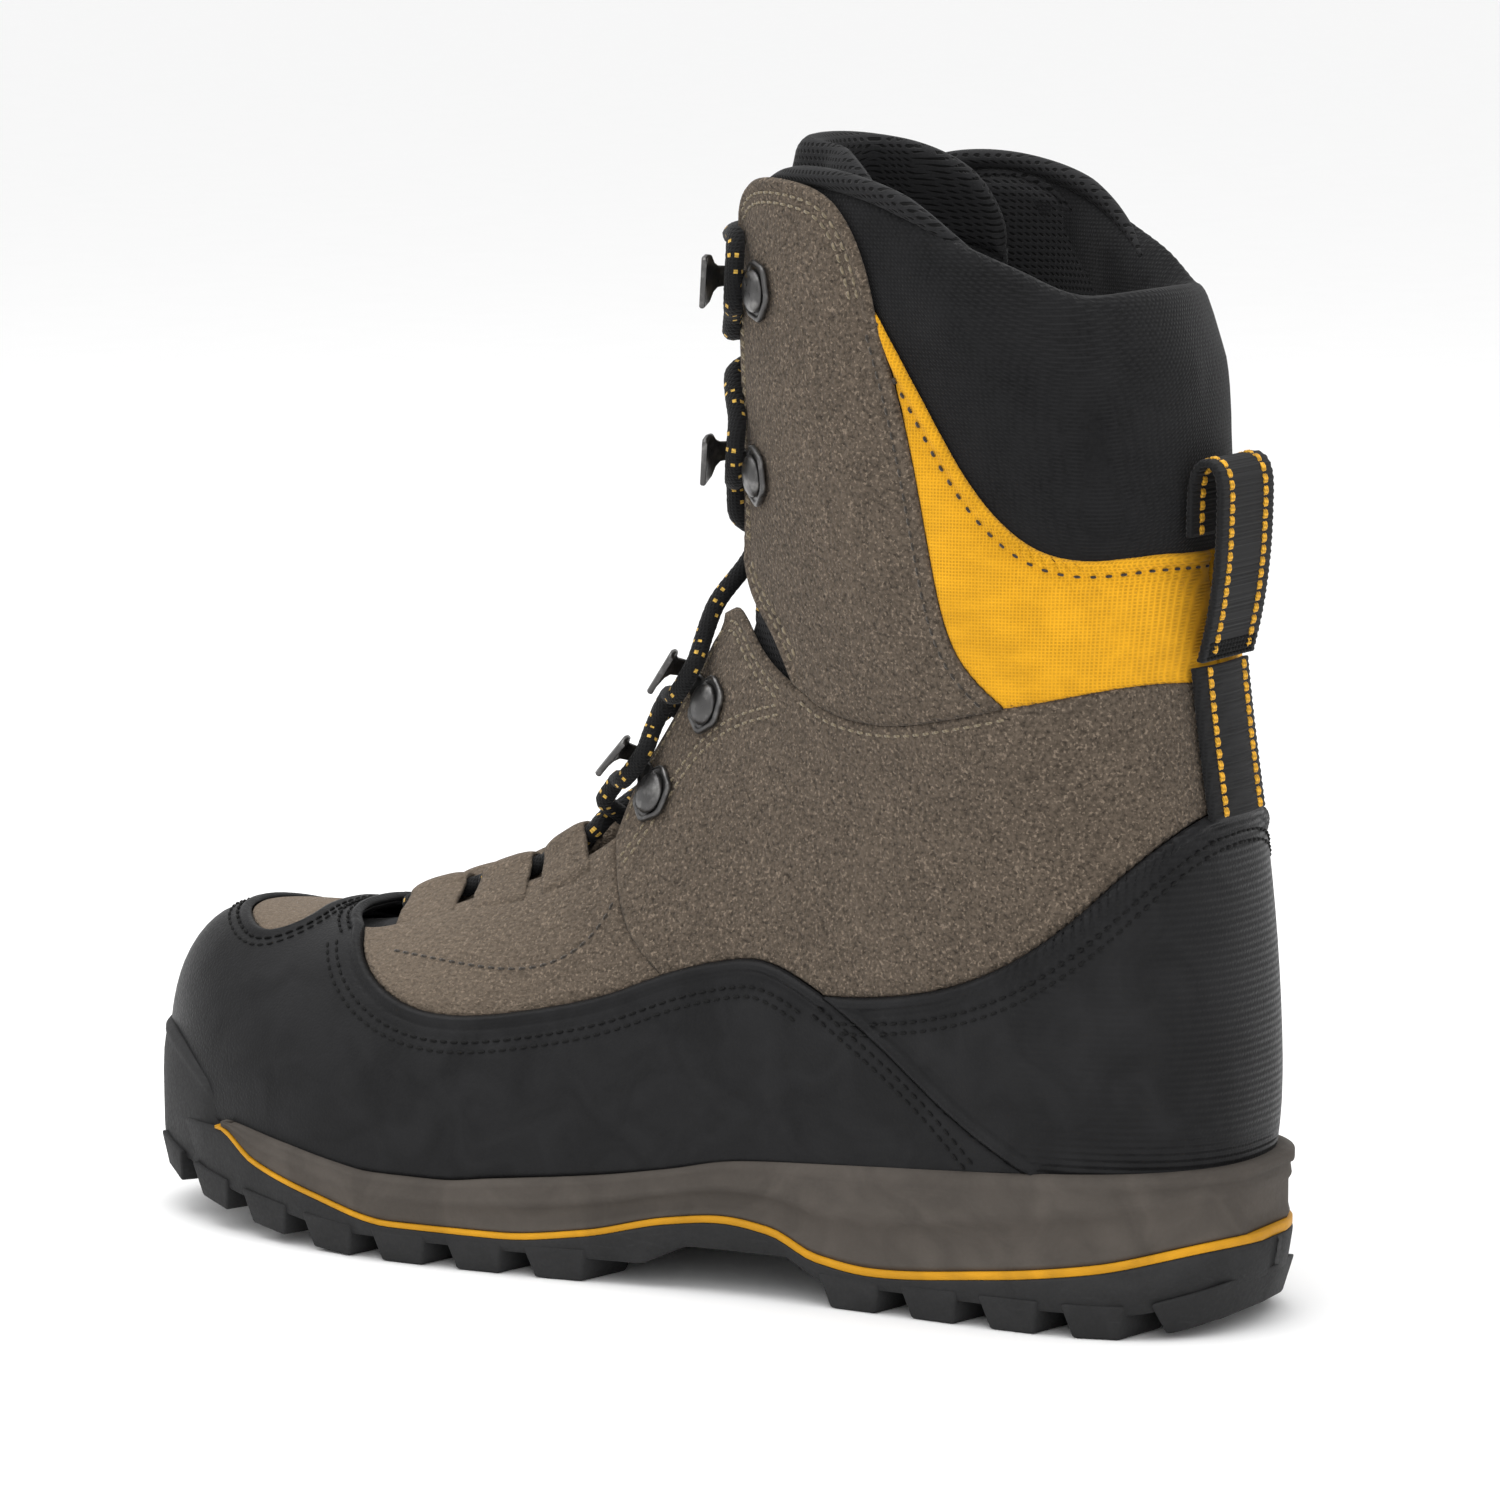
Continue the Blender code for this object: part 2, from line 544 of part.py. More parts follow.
def plan_halves(plan):
    """Functions giving the medial and the lateral x of a plan outline at any y, and its y range."""
    loop = np.array(plan + plan[:1], float)
    knots = np.concatenate([[0], np.cumsum(np.linalg.norm(np.diff(loop, axis=0), axis=1))])
    extended = np.concatenate([knots[-4:-1] - knots[-1], knots, knots[1:4] + knots[-1]])
    values = np.concatenate([loop[-4:-1], loop, loop[1:4]])
    fine = natural_spline(extended, values)(np.linspace(0, knots[-1], 721))
    toe = int(np.argmin(fine[:, 1]))
    fine = np.roll(fine[:-1], -toe, axis=0)
    heel = int(np.argmax(fine[:, 1]))
    medial = fine[:heel + 1]
    lateral = np.concatenate([fine[heel:], fine[:1]])[::-1]
    return (
        lambda y: np.interp(y, medial[:, 1], medial[:, 0]),
        lambda y: np.interp(y, lateral[:, 1], lateral[:, 0]),
        (fine[0, 1], fine[heel, 1]),
    )


def slab(name, plan, low, high, material, collection, inset=0.0, y_range=None, ledge=0.0):
    """A layer of the sole, lofted from toe to heel between two heights.

    All layers share their stations, so that their faces run parallel.
    """
    medial, lateral, (toe, heel) = plan_halves(plan)
    ends = (toe + inset, heel - inset)
    if y_range:
        ends = (max(ends[0], y_range[0]), min(ends[1], y_range[1]))
    swing = np.linspace(0, math.pi, SOLE_STATIONS)
    shared = -4.6 - 148.2 * np.cos(swing)
    ys = [ends[0], *(y for y in shared if ends[0] + 0.5 < y < ends[1] - 0.5), ends[1]]
    points = []
    for y in ys:
        inner = np.clip(y, toe + 0.4, heel - 0.4)
        right = max(medial(inner) - inset, lateral(inner) + inset + 2.0)
        left = lateral(inner) + inset
        bottom, top = low(y)[0], high(y)[0]
        points += [(right - ledge, y, bottom), (right, y, top), (left, y, top), (left + ledge, y, bottom)]
    faces = [(0, 1, 2, 3)]
    for i in range(len(ys) - 1):
        a = 4 * i
        faces += [(a + j, a + 4 + j, a + 4 + (j + 1) % 4, a + (j + 1) % 4) for j in range(4)]
    last = 4 * (len(ys) - 1)
    faces.append((last + 3, last + 2, last + 1, last))
    thing = add_object(name, mesh_from(name, points, faces), material, collection)
    shade_round(thing)
    return thing


def prism(name, corners, low, high, collection):
    """A block with a flat plan outline, as a cutter or a piece to join."""
    count = len(corners)
    points = [(x, y, low) for x, y in corners] + [(x, y, high) for x, y in corners]
    faces = [tuple(range(count))[::-1], tuple(range(count, 2 * count))]
    faces += [(i, (i + 1) % count, count + (i + 1) % count, count + i) for i in range(count)]
    return add_object(name, mesh_from(name, points, faces), bpy.data.materials["rubber"], collection)


def outsole_underside(y):
    """The outsole's flat underside between the lugs."""
    y = np.atleast_1d(y)
    rise = np.interp(y, (2, 12, 38, 47), (0, 1, 1, 0))
    return (ground(y) + LUG_DEPTH) * (1 - rise) + ARCH_HEIGHT * rise


def lug_outlines():
    """Plan outlines of the tread blocks: rows along both edges and a row down the middle."""
    medial, lateral, _ = plan_halves(SOLE_PLAN)
    edge_rows = (
        (-143, -132), (-126, -113), (-107, -93), (-87, -73), (-67, -53), (-47, -33), (-27, -12),
        (47, 62), (68, 82), (88, 102), (108, 121),
    )
    lugs = []
    for front, back in edge_rows:
        depth = 17 if back > -130 else 12
        slant = 4
        for side, edge in ((1, medial), (-1, lateral)):
            outer_front, outer_back = edge(front) - side * 0.6, edge(back) - side * 0.6
            lugs.append((
                (outer_front, front), (outer_back, back),
                (outer_back - side * depth, back + slant), (outer_front - side * depth, front + slant),
            ))
    for front, back in ((-118, -104), (-98, -84), (-78, -64), (-58, -44), (-38, -24), (58, 72), (80, 94)):
        half = 11 if back < 0 else 8
        shift = -1.5
        lugs.append((
            (shift + half, front + 3), (shift + half, back + 3), (shift, back - 2),
            (shift - half, back + 3), (shift - half, front + 3), (shift, front - 2),
        ))
    heel_arc = [(0.5 * (medial(y) - lateral(y)) - 0.7, y) for y in (127, 133, 138.5)]
    centre = 0.5 * (medial(127) + lateral(127))
    ring = [(centre + half, y) for half, y in heel_arc] + [(centre, 142.6)]
    ring += [(centre - half, y) for half, y in reversed(heel_arc)]
    lugs.append(tuple(ring) + ((centre - 13, 128), (centre + 13, 128)))
    return lugs


def toe_bumper(collection):
    """The rubber wall in front of the toe, tapering off along both sides."""
    medial, lateral, (toe, _) = plan_halves(SOLE_PLAN)
    top_line = along(((-153, 45.5), (-146, 45), (-138, 43), (-124, 36), (-113, 27)))
    swing = np.linspace(0, math.pi / 2, 12)
    ys = toe + (-114.5 - toe) * (1 - np.cos(swing))
    outer = [(medial(y), y) for y in ys[::-1]] + [(lateral(y), y) for y in ys[1:]]
    outer = np.array(outer)
    along_wall = np.gradient(outer, axis=0)
    inward = np.stack([along_wall[:, 1], -along_wall[:, 0]], axis=1)
    inward /= np.linalg.norm(inward, axis=1, keepdims=True)
    middle = outer.mean(axis=0)
    if np.sum(inward * (middle - outer)) < 0:
        inward = -inward
    inner = outer + BUMPER_THICKNESS * inward
    points = []
    for (x, y), (ix, iy) in zip(outer, inner):
        top = top_line(y)[0]
        points += [(x, y, 16.0), (x, y, top), (ix, iy, top - 0.4), (ix, iy, 16.0)]
    faces = [(0, 1, 2, 3)]
    for i in range(len(outer) - 1):
        a = 4 * i
        faces += [(a + j, a + 4 + j, a + 4 + (j + 1) % 4, a + (j + 1) % 4) for j in range(4)]
    last = 4 * (len(outer) - 1)
    faces.append((last + 3, last + 2, last + 1, last))
    mesh = mesh_from("bumper", points, faces)
    return add_object("bumper", mesh, bpy.data.materials["rubber"], collection)


def join_with(thing, others):
    """Boolean union, keeping the joined pieces as hidden cutters."""
    for other in others:
        union = thing.modifiers.new(other.name, "BOOLEAN")
        union.operation = "UNION"
        union.solver = "EXACT"
        union.object = other
        hide_cutter(other)


def hide_cutter(thing):
    thing.hide_render = True
    thing.display_type = "WIRE"


def make_sole(mats, boot, cutters):
    outsole = slab("outsole", SOLE_PLAN, outsole_underside, accent_top, mats["rubber"], boot, ledge=0.8)
    lugs = []
    for i, corners in enumerate(lug_outlines()):
        y = np.mean([corner[1] for corner in corners])
        bottom = ground(y)[0]
        lugs.append(prism(f"lug_{i + 1}", corners, bottom, bottom + LUG_DEPTH + 2.5, cutters))
    join_with(outsole, lugs + [toe_bumper(cutters)])

    def accent_low(y):
        return accent_top(y) + GAP

    def accent_high(y):
        return accent_top(y) + GAP + ACCENT_THICKNESS

    def midsole_low(y):
        return accent_high(y) + GAP

    back = (-113.0, 143.0)
    slab("accent_band", SOLE_PLAN, accent_low, accent_high, mats["accent"], boot, inset=0.4, y_range=back)
    inner = (-112.0, 141.5)
    slab("midsole", SOLE_PLAN, midsole_low, midsole_top, mats["midsole"], boot, inset=0.9, y_range=inner)
    slab("shank", BOARD_PLAN, lambda y: midsole_top(y) + GAP,
         lambda y: midsole_top(y) + GAP + SHANK_THICKNESS,
         mats["stiffener"], boot, inset=14.0, y_range=(-70.0, 105.0))
    board_low = GAP + SHANK_THICKNESS + GAP
    slab("insole_board", BOARD_PLAN, lambda y: midsole_top(y) + board_low,
         lambda y: midsole_top(y) + board_low + BOARD_THICKNESS, mats["board"], boot)
    bed_low = board_low + BOARD_THICKNESS + GAP
    footbed = slab("footbed", BOARD_PLAN, lambda y: midsole_top(y) + bed_low,
                   lambda y: midsole_top(y) + bed_low + FOOTBED_THICKNESS, mats["foam"], boot, inset=2.4)
    move_origin(footbed, FOOTBED_TOE, midsole_top(FOOTBED_TOE)[0] + bed_low)


# ---------------------------------------------------------------- upper

def feather_parts():
    """The medial feather line in front of the overlap seam and behind it."""
    seam = RAND_OVERLAP[-1][0]
    toe_side = tuple(place for place in FEATHER if place[0] < seam)
    return toe_side, tuple(FEATHER[len(toe_side):])


def across_toe(edge):
    """A medial edge that starts under the toe tip, begun on the lateral side."""
    return tuple((u, 2 - w) for u, w in reversed(edge)) + tuple(edge)[1:]


def make_upper(mats, boot):
    toe_side, heel_side = feather_parts()
    overlap = RAND_OVERLAP[:-1] + heel_side[:1]
    round_toe = across_toe(toe_side + heel_side[:1])
    round_heel = across_back(heel_side)

    panel("front_rand", [
        round_toe, overlap[::-1], RAND_EDGE[::-1], across_front(THROAT_FRONT), mirrored(RAND_EDGE[::-1]),
        mirrored(overlap[::-1]),
    ], RAND, mats["rand"], boot, step=9.2, hole=[across_front(TOE_WINDOW)])
    panel("toe_patch", [across_front(TOE_WINDOW)], SUEDE, mats["suede"], boot, step=9.2)
    panel("heel_rand", [
        across_back(HEEL_EDGE), tuple((u, 2 - w) for u, w in overlap), round_heel[::-1], overlap[::-1],
    ], RAND, mats["rand"], boot, step=10.0)
    for side, sign in (("medial", 1), ("lateral", -1)):
        def sided(edge):
            return tuple((u, sign * w) for u, w in edge)

        panel(f"forefoot_quarter_{side}", [
            sided(RAND_EDGE[:6]), sided(QUARTER_SEAM), sided(EYELET_EDGE[::-1]),
        ], SUEDE, mats["suede"], boot, step=10.0)
        panel(f"rear_quarter_{side}", [
            sided(RAND_EDGE[5:]), sided(HEEL_EDGE), sided(((10.44, 1.0), (11.12, 1.0))),
            sided(CUFF_SEAM_BACK[::-1]), sided(CUFF_SEAM[::-1]), sided(FLEX_NOTCH_LOW[::-1]),
            sided(INSTEP_EDGE[::-1]), sided(QUARTER_SEAM[::-1]),
        ], SUEDE, mats["suede"], boot)
        panel(f"cuff_{side}", [
            sided(CUFF_SEAM), sided(YELLOW_FRONT[::-1]), sided(CUFF_TOP[::-1]), sided(CUFF_FRONT[::-1]),
            sided(FLEX_NOTCH_HIGH[::-1]),
        ], SUEDE, mats["suede"], boot)
        panel(f"yellow_panel_{side}", [
            sided(YELLOW_FRONT), sided(CUFF_SEAM_BACK), sided(((11.12, 1.0), (11.84, 1.0))),
            sided(YELLOW_TOP[::-1]),
        ], TEXTILE, mats["yellow"], boot)
        panel(f"gusset_{side}", [sided(GUSSET_OUTLINE + GUSSET_OUTLINE[:1])], GUSSET, mats["mesh"], boot,
              step=14.0)
        panel(f"ankle_foam_{side}", [sided(ANKLE_FOAM_OUTLINE + ANKLE_FOAM_OUTLINE[:1])], STIFFENER,
              mats["foam"], boot, step=14.0)
    panel("collar", [
        across_back(YELLOW_TOP), tuple((u, 2 - w) for u, w in COLLAR_FRONT),
        across_back(COLLAR_RIM)[::-1], COLLAR_FRONT[::-1],
    ], TEXTILE, mats["softshell"], boot)


def lining_depth(u, w):
    """The lining lies under the stiffeners, and further in where the collar foam pushes it."""
    w = abs((w + 1) % 2 - 1)
    into_height = np.clip((u - 10.7) / 0.9, 0, 1)
    into_back = np.clip((w - 0.47) / 0.12, 0, 1)
    at_rim = np.clip((13.62 - u) / 0.45, 0, 1)
    push = [t * t * (3 - 2 * t) for t in (into_height, into_back, at_rim)]
    return LINING_DEPTH - COLLAR_PUSH * push[0] * push[1] * push[2]


def make_inner_layers(mats, boot):
    toe_cut = tuple(place for place in FEATHER if place[0] < PUFF_LIMIT)
    reach = toe_cut[-1][1]
    arc = tuple((PUFF_LIMIT, w) for w in np.linspace(reach, -reach, 9))
    panel("toe_puff", [
        across_toe(toe_cut), (toe_cut[-1], arc[0]), arc, (arc[-1], (toe_cut[-1][0], -reach)),
    ], STIFFENER, mats["stiffener"], boot, step=9.0)
    start = COUNTER_EDGE[0]
    foot = tuple(place for place in FEATHER if place[0] > start[0] and place[1] > start[1])
    panel("heel_counter", [
        across_back(COUNTER_EDGE), ((start[0], 2 - start[1]), (foot[0][0], 2 - foot[0][1])),
        across_back(foot)[::-1], (foot[0], start),
    ], STIFFENER, mats["stiffener"], boot)
    panel("collar_foam", [
        across_back(COLLAR_FOAM_BASE), tuple((u, 2 - w) for u, w in COLLAR_FOAM_FRONT),
        across_back(COLLAR_FOAM_TOP)[::-1], COLLAR_FOAM_FRONT[::-1],
    ], COLLAR_FOAM, mats["foam"], boot, step=14.0)
    sole_hole = across_back(FEATHER)
    panel("lining", [
        across_back(LINING_RIM), tuple((u, -w) for u, w in reversed(LINING_THROAT)), LINING_THROAT,
    ], (LINING_DEPTH, LINING_THICKNESS), mats["mesh"], boot, step=15.0, hole=[sole_hole],
        depth=lining_depth)
    split = across_front(tuple((TONGUE_SPLIT, w) for w in (TONGUE_EDGE[-1][1], 0.3, 0.15, 0.0)))
    panel("tongue", [TONGUE_EDGE, split, mirrored(TONGUE_EDGE)], TONGUE, mats["mesh"], boot, step=12.0,
          depth=tongue_depth)
    tip = panel("tongue_tip", [
        split[::-1], TONGUE_TIP_SIDE, across_front(TONGUE_TIP_TOP), mirrored(TONGUE_TIP_SIDE),
    ], TONGUE, mats["mesh"], boot, step=10.0, depth=tongue_depth)
    apply_modifiers(tip)
    move_origin(tip, *tongue_axis())


def tongue_depth(u, w):
    """The tongue bulges in the throat and dives under the lining at its sides."""
    t = np.clip((abs(w) - 0.12) / 0.10, 0, 1) * np.clip((u - 8.5) / 2.0, 0, 1)
    return TONGUE[0] - WING_DROP * t * t * (3 - 2 * t)


def apply_modifiers(thing):
    depsgraph = bpy.context.evaluated_depsgraph_get()
    mesh = bpy.data.meshes.new_from_object(thing.evaluated_get(depsgraph))
    thing.modifiers.clear()
    thing.data = mesh


def tongue_axis():
    point = on_last(TONGUE_SPLIT, 0.0, TONGUE[0] - TONGUE[1] / 2)[0]
    return point[1], point[2]


# ---------------------------------------------------------------- lacing

def place_matrix(u, w, offset):
    """Axes on the last: X towards the throat, Y up along the front, Z out of the surface."""
    point, normal, _, round_ = last_frame(u, w)
    point = point + offset * normal
    towards = -np.sign(w) * round_
    towards -= normal * np.dot(towards, normal)
    towards /= np.linalg.norm(towards)
    side = np.cross(normal, towards)
    matrix = Matrix.Identity(4)
    for i, axis in enumerate((towards, side, normal)):
        for j in range(3):
            matrix[j][i] = axis[j]
    matrix.translation = Vector(((point + ORIGIN) * MM).tolist())
    return matrix


def local_prism(corners, low, high):
    """A flat plate in a piece's own axes."""
    bm = bmesh.new()
    ring = [bm.verts.new((x * MM, y * MM, low * MM)) for x, y in corners]
    face = bm.faces.new(ring)
    raised = bmesh.ops.extrude_face_region(bm, geom=[face])
    lifted = [v for v in raised["geom"] if isinstance(v, bmesh.types.BMVert)]
    bmesh.ops.translate(bm, verts=lifted, vec=(0, 0, (high - low) * MM))
    bmesh.ops.recalc_face_normals(bm, faces=bm.faces)
    mesh = bpy.data.meshes.new("plate")
    bm.to_mesh(mesh)
    bm.free()
    return mesh


def hook_mesh(mats, cutters):
    """Speed hook: hexagonal foot with a rivet hole, a neck towards the throat and a raised tab."""
    turns = [math.radians(a) for a in range(30, 390, 60)]
    hexagon = [(5.6 * math.cos(a), 6.4 * math.sin(a)) for a in turns]
    foot = add_object("hook_foot", local_prism(hexagon, 0, 1.2), mats["gunmetal"], cutters)
    profile = [(3.5, 0.05), (10.0, 0.05), (10.4, 1.0), (10.1, 6.8), (9.0, 7.6), (3.8, 8.9), (3.6, 7.9),
               (8.7, 6.5), (9.1, 6.0), (9.0, 1.15), (3.5, 1.15)]
    neck = add_object("hook_neck", side_plate(profile, 2.3), mats["gunmetal"], cutters)
    tab_profile = [(9.15, 6.3), (10.15, 6.7), (9.05, 7.7), (3.75, 9.0), (3.55, 7.8), (8.6, 6.6)]
    tab = add_object("hook_tab", side_plate(tab_profile, 5.6), mats["gunmetal"], cutters)
    bpy.ops.mesh.primitive_cylinder_add(vertices=16, radius=2.4 * MM, depth=6 * MM)
    hole = bpy.context.object
    hole.name = "hook_hole"
    move_to(hole, cutters)
    for other, operation in ((neck, "UNION"), (tab, "UNION"), (hole, "DIFFERENCE")):
        step = foot.modifiers.new(other.name, "BOOLEAN")
        step.operation = operation
        step.solver = "EXACT"
        step.object = other
        hide_cutter(other)
    bpy.context.view_layer.update()
    apply_modifiers(foot)
    hide_cutter(foot)
    return foot.data


def side_plate(profile, half_width):
    """A bent strip: its side profile in X and Z, extruded both ways along Y."""
    bm = bmesh.new()
    ring = [bm.verts.new((x * MM, -half_width * MM, z * MM)) for x, z in profile]
    face = bm.faces.new(ring)
    raised = bmesh.ops.extrude_face_region(bm, geom=[face])
    lifted = [v for v in raised["geom"] if isinstance(v, bmesh.types.BMVert)]
    bmesh.ops.translate(bm, verts=lifted, vec=(0, 2 * half_width * MM, 0))
    bmesh.ops.recalc_face_normals(bm, faces=bm.faces)
    mesh = bpy.data.meshes.new("strip")
    bm.to_mesh(mesh)
    bm.free()
    return mesh


def move_to(thing, collection):
    for group in list(thing.users_collection):
        group.objects.unlink(thing)
    collection.objects.link(thing)


def turned(name, profile, material, collection, steps=10):
    """A turned piece: its profile runs down the outer side, top to bottom, in X and Z."""
    mesh = bpy.data.meshes.new(name)
    points = [(x * MM, 0, z * MM) for x, z in profile]
    mesh.from_pydata(points, [(i, i + 1) for i in range(len(points) - 1)], [])
    thing = add_object(name, mesh, material, collection)
    screw = thing.modifiers.new("turn", "SCREW")
    screw.steps = screw.render_steps = steps
    screw.use_merge_vertices = True
    screw.merge_threshold = 0.00001
    return thing


def make_hooks(mats, boot, cutters):
    mesh = hook_mesh(mats, cutters)
    rivet_profile = [(0, 3.0), (1.8, 2.85), (3.4, 2.4), (4.3, 1.8), (4.4, 1.45), (2.1, 1.45), (2.1, 0.0),
                     (0, 0.0)]
    for side, sign in (("medial", 1), ("lateral", -1)):
        for i, (u, w) in enumerate(HOOK_PLACES):
            matrix = place_matrix(u, sign * w, GAP)
            hook = add_object(f"hook_{side}_{i + 1}", mesh.copy(), mats["gunmetal"], boot)
            hook.matrix_world = matrix
            rivet = turned(f"rivet_{side}_{i + 1}", rivet_profile, mats["gunmetal"], boot)
            rivet.matrix_world = matrix


def make_tunnels(mats, boot):
    for side, sign in (("medial", 1), ("lateral", -1)):
        for i, (start, end) in enumerate(TUNNEL_SPANS):
            us = np.linspace(start, end, TUNNEL_RINGS)
            path = on_last(us, np.full(TUNNEL_RINGS, sign * TUNNEL_W), TUNNEL_DEPTH)
            points = []
            forward = np.gradient(path, axis=0)
            for k, (u, centre) in enumerate(zip(us, path)):
                normal = last_frame(u, sign * TUNNEL_W)[1]
                ahead = forward[k] / np.linalg.norm(forward[k])
                across = np.cross(ahead, normal)
                for radius in (TUNNEL_RADIUS, TUNNEL_BORE):
                    points += [centre + radius * (math.cos(a) * normal + math.sin(a) * across)
                               for a in np.linspace(0, 2 * math.pi, TUNNEL_SIDES + 1)[:-1]]
            faces = []
            ring = 2 * TUNNEL_SIDES
            for k in range(TUNNEL_RINGS - 1):
                for j in range(TUNNEL_SIDES):
                    n = (j + 1) % TUNNEL_SIDES
                    a, b = ring * k, ring * (k + 1)
                    faces.append((a + j, a + n, b + n, b + j))
                    c, d = a + TUNNEL_SIDES, b + TUNNEL_SIDES
                    faces.append((c + n, c + j, d + j, d + n))
            for a in (0, (TUNNEL_RINGS - 1) * ring):
                faces += [(a + j, a + TUNNEL_SIDES + j, a + TUNNEL_SIDES + (j + 1) % TUNNEL_SIDES,
                           a + (j + 1) % TUNNEL_SIDES) for j in range(TUNNEL_SIDES)]
            mesh = mesh_from("tunnel", points, faces)
            thing = add_object(f"lace_tunnel_{side}_{i + 1}", mesh, mats["suede"], boot)
            shade_round(thing)


def hook_turn(u, side_w, lip):
    """Places on the last (u, w, offset) of the lace over a lip, round a hook and back over the lip."""
    _, _, up, round_ = last_frame(u, side_w)
    axes = place_matrix(u, side_w, GAP)
    side = np.sign(side_w)

    def shifted(x, y):
        move = np.array(axes.col[0][:3]) * x + np.array(axes.col[1][:3]) * y * -side
        du, dw = np.linalg.lstsq(np.stack([up, round_], axis=1), move, rcond=None)[0]
        return u + du, side_w + dw

    bends = ((9.8, -9.4, 2.9), (5.0, -4.8, 4.2), (4.3, 0.0, 4.5), (5.0, 4.8, 4.2), (9.8, 9.4, 2.9))
    turn = [(*shifted(x, y), z) for x, y, z in bends]
    reach = 15.0 / np.linalg.norm(up)
    before = [(turn[0][0] - 0.4 * reach, side * (lip - 0.012), LACE_ON_SUEDE)]
    after = [(turn[-1][0] + 0.4 * reach, side * (lip - 0.012), LACE_ON_SUEDE)]
    if abs(turn[0][1]) > lip + 0.03:
        before.append((turn[0][0] - 0.2 * reach, side * (lip + 0.02), LACE_ON_SUEDE))
        after.insert(0, (turn[-1][0] + 0.2 * reach, side * (lip + 0.02), LACE_ON_SUEDE))
    return before + turn + after


def strand(side, over):
    """Half of the lace, from the middle of the bottom bar to the end tucked behind a cuff."""
    places = [(3.52, 0.0, -3.2), (3.56, side * 0.035, -1.8)]
    for i, (start, end) in enumerate(TUNNEL_SPANS):
        places += [(u, side * TUNNEL_W, TUNNEL_DEPTH) for u in np.linspace(start - 0.11, end + 0.11, 4)]
        side = -side
        ahead = TUNNEL_SPANS[i + 1][0] if i < 2 else HOOK_PLACES[0][0] - 0.7
        places.append(((end + ahead) / 2, 0.0, over))
    for i, (u, w) in enumerate(HOOK_PLACES):
        places += hook_turn(u, side * w, LACE_LIPS[i])
        side = -side
        if i < 3:
            middle = (u + HOOK_PLACES[i + 1][0]) / 2
            places += [(middle - 0.08, -side * 0.022, over), (middle + 0.08, side * 0.022, over)]
    places = places[:-1]
    tuck = (
        (13.04, -0.130, 2.2), (13.03, -0.035, over), (12.93, 0.035, over), (12.76, 0.085, -5.2),
        (12.62, 0.125, -6.6), (12.48, 0.16, -8.4), (12.3, 0.198, -9.5), (12.0, 0.23, -10.0),
        (11.5, 0.255, -10.2), (11.0, 0.26, -10.2),
    )
    return places + [(u, side * w, offset) for u, w, offset in tuck]


def lace_route():
    """Points of the whole lace, end to end, closer together where it bends."""
    one = strand(1, LACE_HIGH)
    other = strand(-1, LACE_LOW)
    places = np.array(other[::-1] + one[1:])
    rough = on_last(places[:, 0], places[:, 1], places[:, 2])
    knots = np.concatenate([[0], np.cumsum(np.linalg.norm(np.diff(rough, axis=0), axis=1))])
    fine = np.linspace(0, knots[-1], 3000)
    u, w, depth = [along(tuple(zip(knots, places[:, i])))(fine) for i in range(3)]
    route = on_last(u, w, depth)
    for _ in range(LACE_SMOOTHING):
        route[1:-1] = (route[:-2] + 2 * route[1:-1] + route[2:]) / 4
    steps = np.diff(route, axis=0)
    lengths = np.linalg.norm(steps, axis=1)
    ahead = steps / lengths[:, None]
    walked = np.concatenate([[0], np.cumsum(lengths)])
    kept = [0]
    for i in range(1, len(ahead)):
        bent = np.dot(ahead[i], ahead[kept[-1]]) < math.cos(math.radians(LACE_TURN))
        if bent or walked[i] - walked[kept[-1]] > LACE_STRIDE:
            kept.append(i)
    return route[kept + [len(ahead)]]


def make_lace(mats, boot):
    points = lace_route()
    tube("lace", points, LACE_RADIUS, mats["lace"], boot)
    for i, (end, before) in enumerate(((points[0], points[1]), (points[-1], points[-2]))):
        ahead = (end - before) / np.linalg.norm(end - before)
        start = end + GAP * ahead
        tip = start + AGLET_LENGTH * ahead
        tube(f"aglet_{i + 1}", np.array([start, tip]), AGLET_RADIUS, mats["aglet"], boot)


def tube(name, points, radius, material, collection, sides=2):
    curve = bpy.data.curves.new(name, "CURVE")
    curve.dimensions = "3D"
    curve.bevel_depth = radius * MM
    curve.bevel_resolution = sides
    curve.use_fill_caps = True
    line = curve.splines.new("POLY")
    line.points.add(len(points) - 1)
    for place, point in zip(line.points, points):
        place.co = (*((point + ORIGIN) * MM), 1.0)
    curve.materials.append(material)
    thing = bpy.data.objects.new(name, curve)
    collection.objects.link(thing)
    return thing


# ---------------------------------------------------------------- pull loop

def strap(name, path, thickness, width, material, collection):
    """Webbing: a side path of (y, z) points, given a thickness and a width along X."""
    path = np.array(path, float)
    ahead = np.gradient(path, axis=0)
    ahead /= np.linalg.norm(ahead, axis=1, keepdims=True)
    across = np.stack([-ahead[:, 1], ahead[:, 0]], axis=1) * thickness / 2
    ring = []
    for point, half in zip(path, across):
        a, b = point - half, point + half
        ring.append([(-width / 2, *a), (width / 2, *a), (width / 2, *b), (-width / 2, *b)])
    points = [p for section in ring for p in section]
    faces = [(0, 1, 2, 3)]
    for i in range(len(ring) - 1):
        a = 4 * i
        faces += [(a + j, a + 4 + j, a + 4 + (j + 1) % 4, a + (j + 1) % 4) for j in range(4)]
    last = 4 * (len(ring) - 1)
    faces.append((last + 3, last + 2, last + 1, last))
    thing = add_object(name, mesh_from(name, points, faces), material, collection)
    shade_round(thing)
    return thing


def back_line(z, offset):
    """y on the back of the last at a height, moved out by offset."""
    us = np.linspace(8.5, 14, 111)
    line = on_last(us, np.ones(111), offset)
    return np.interp(z, line[:, 2], line[:, 1])


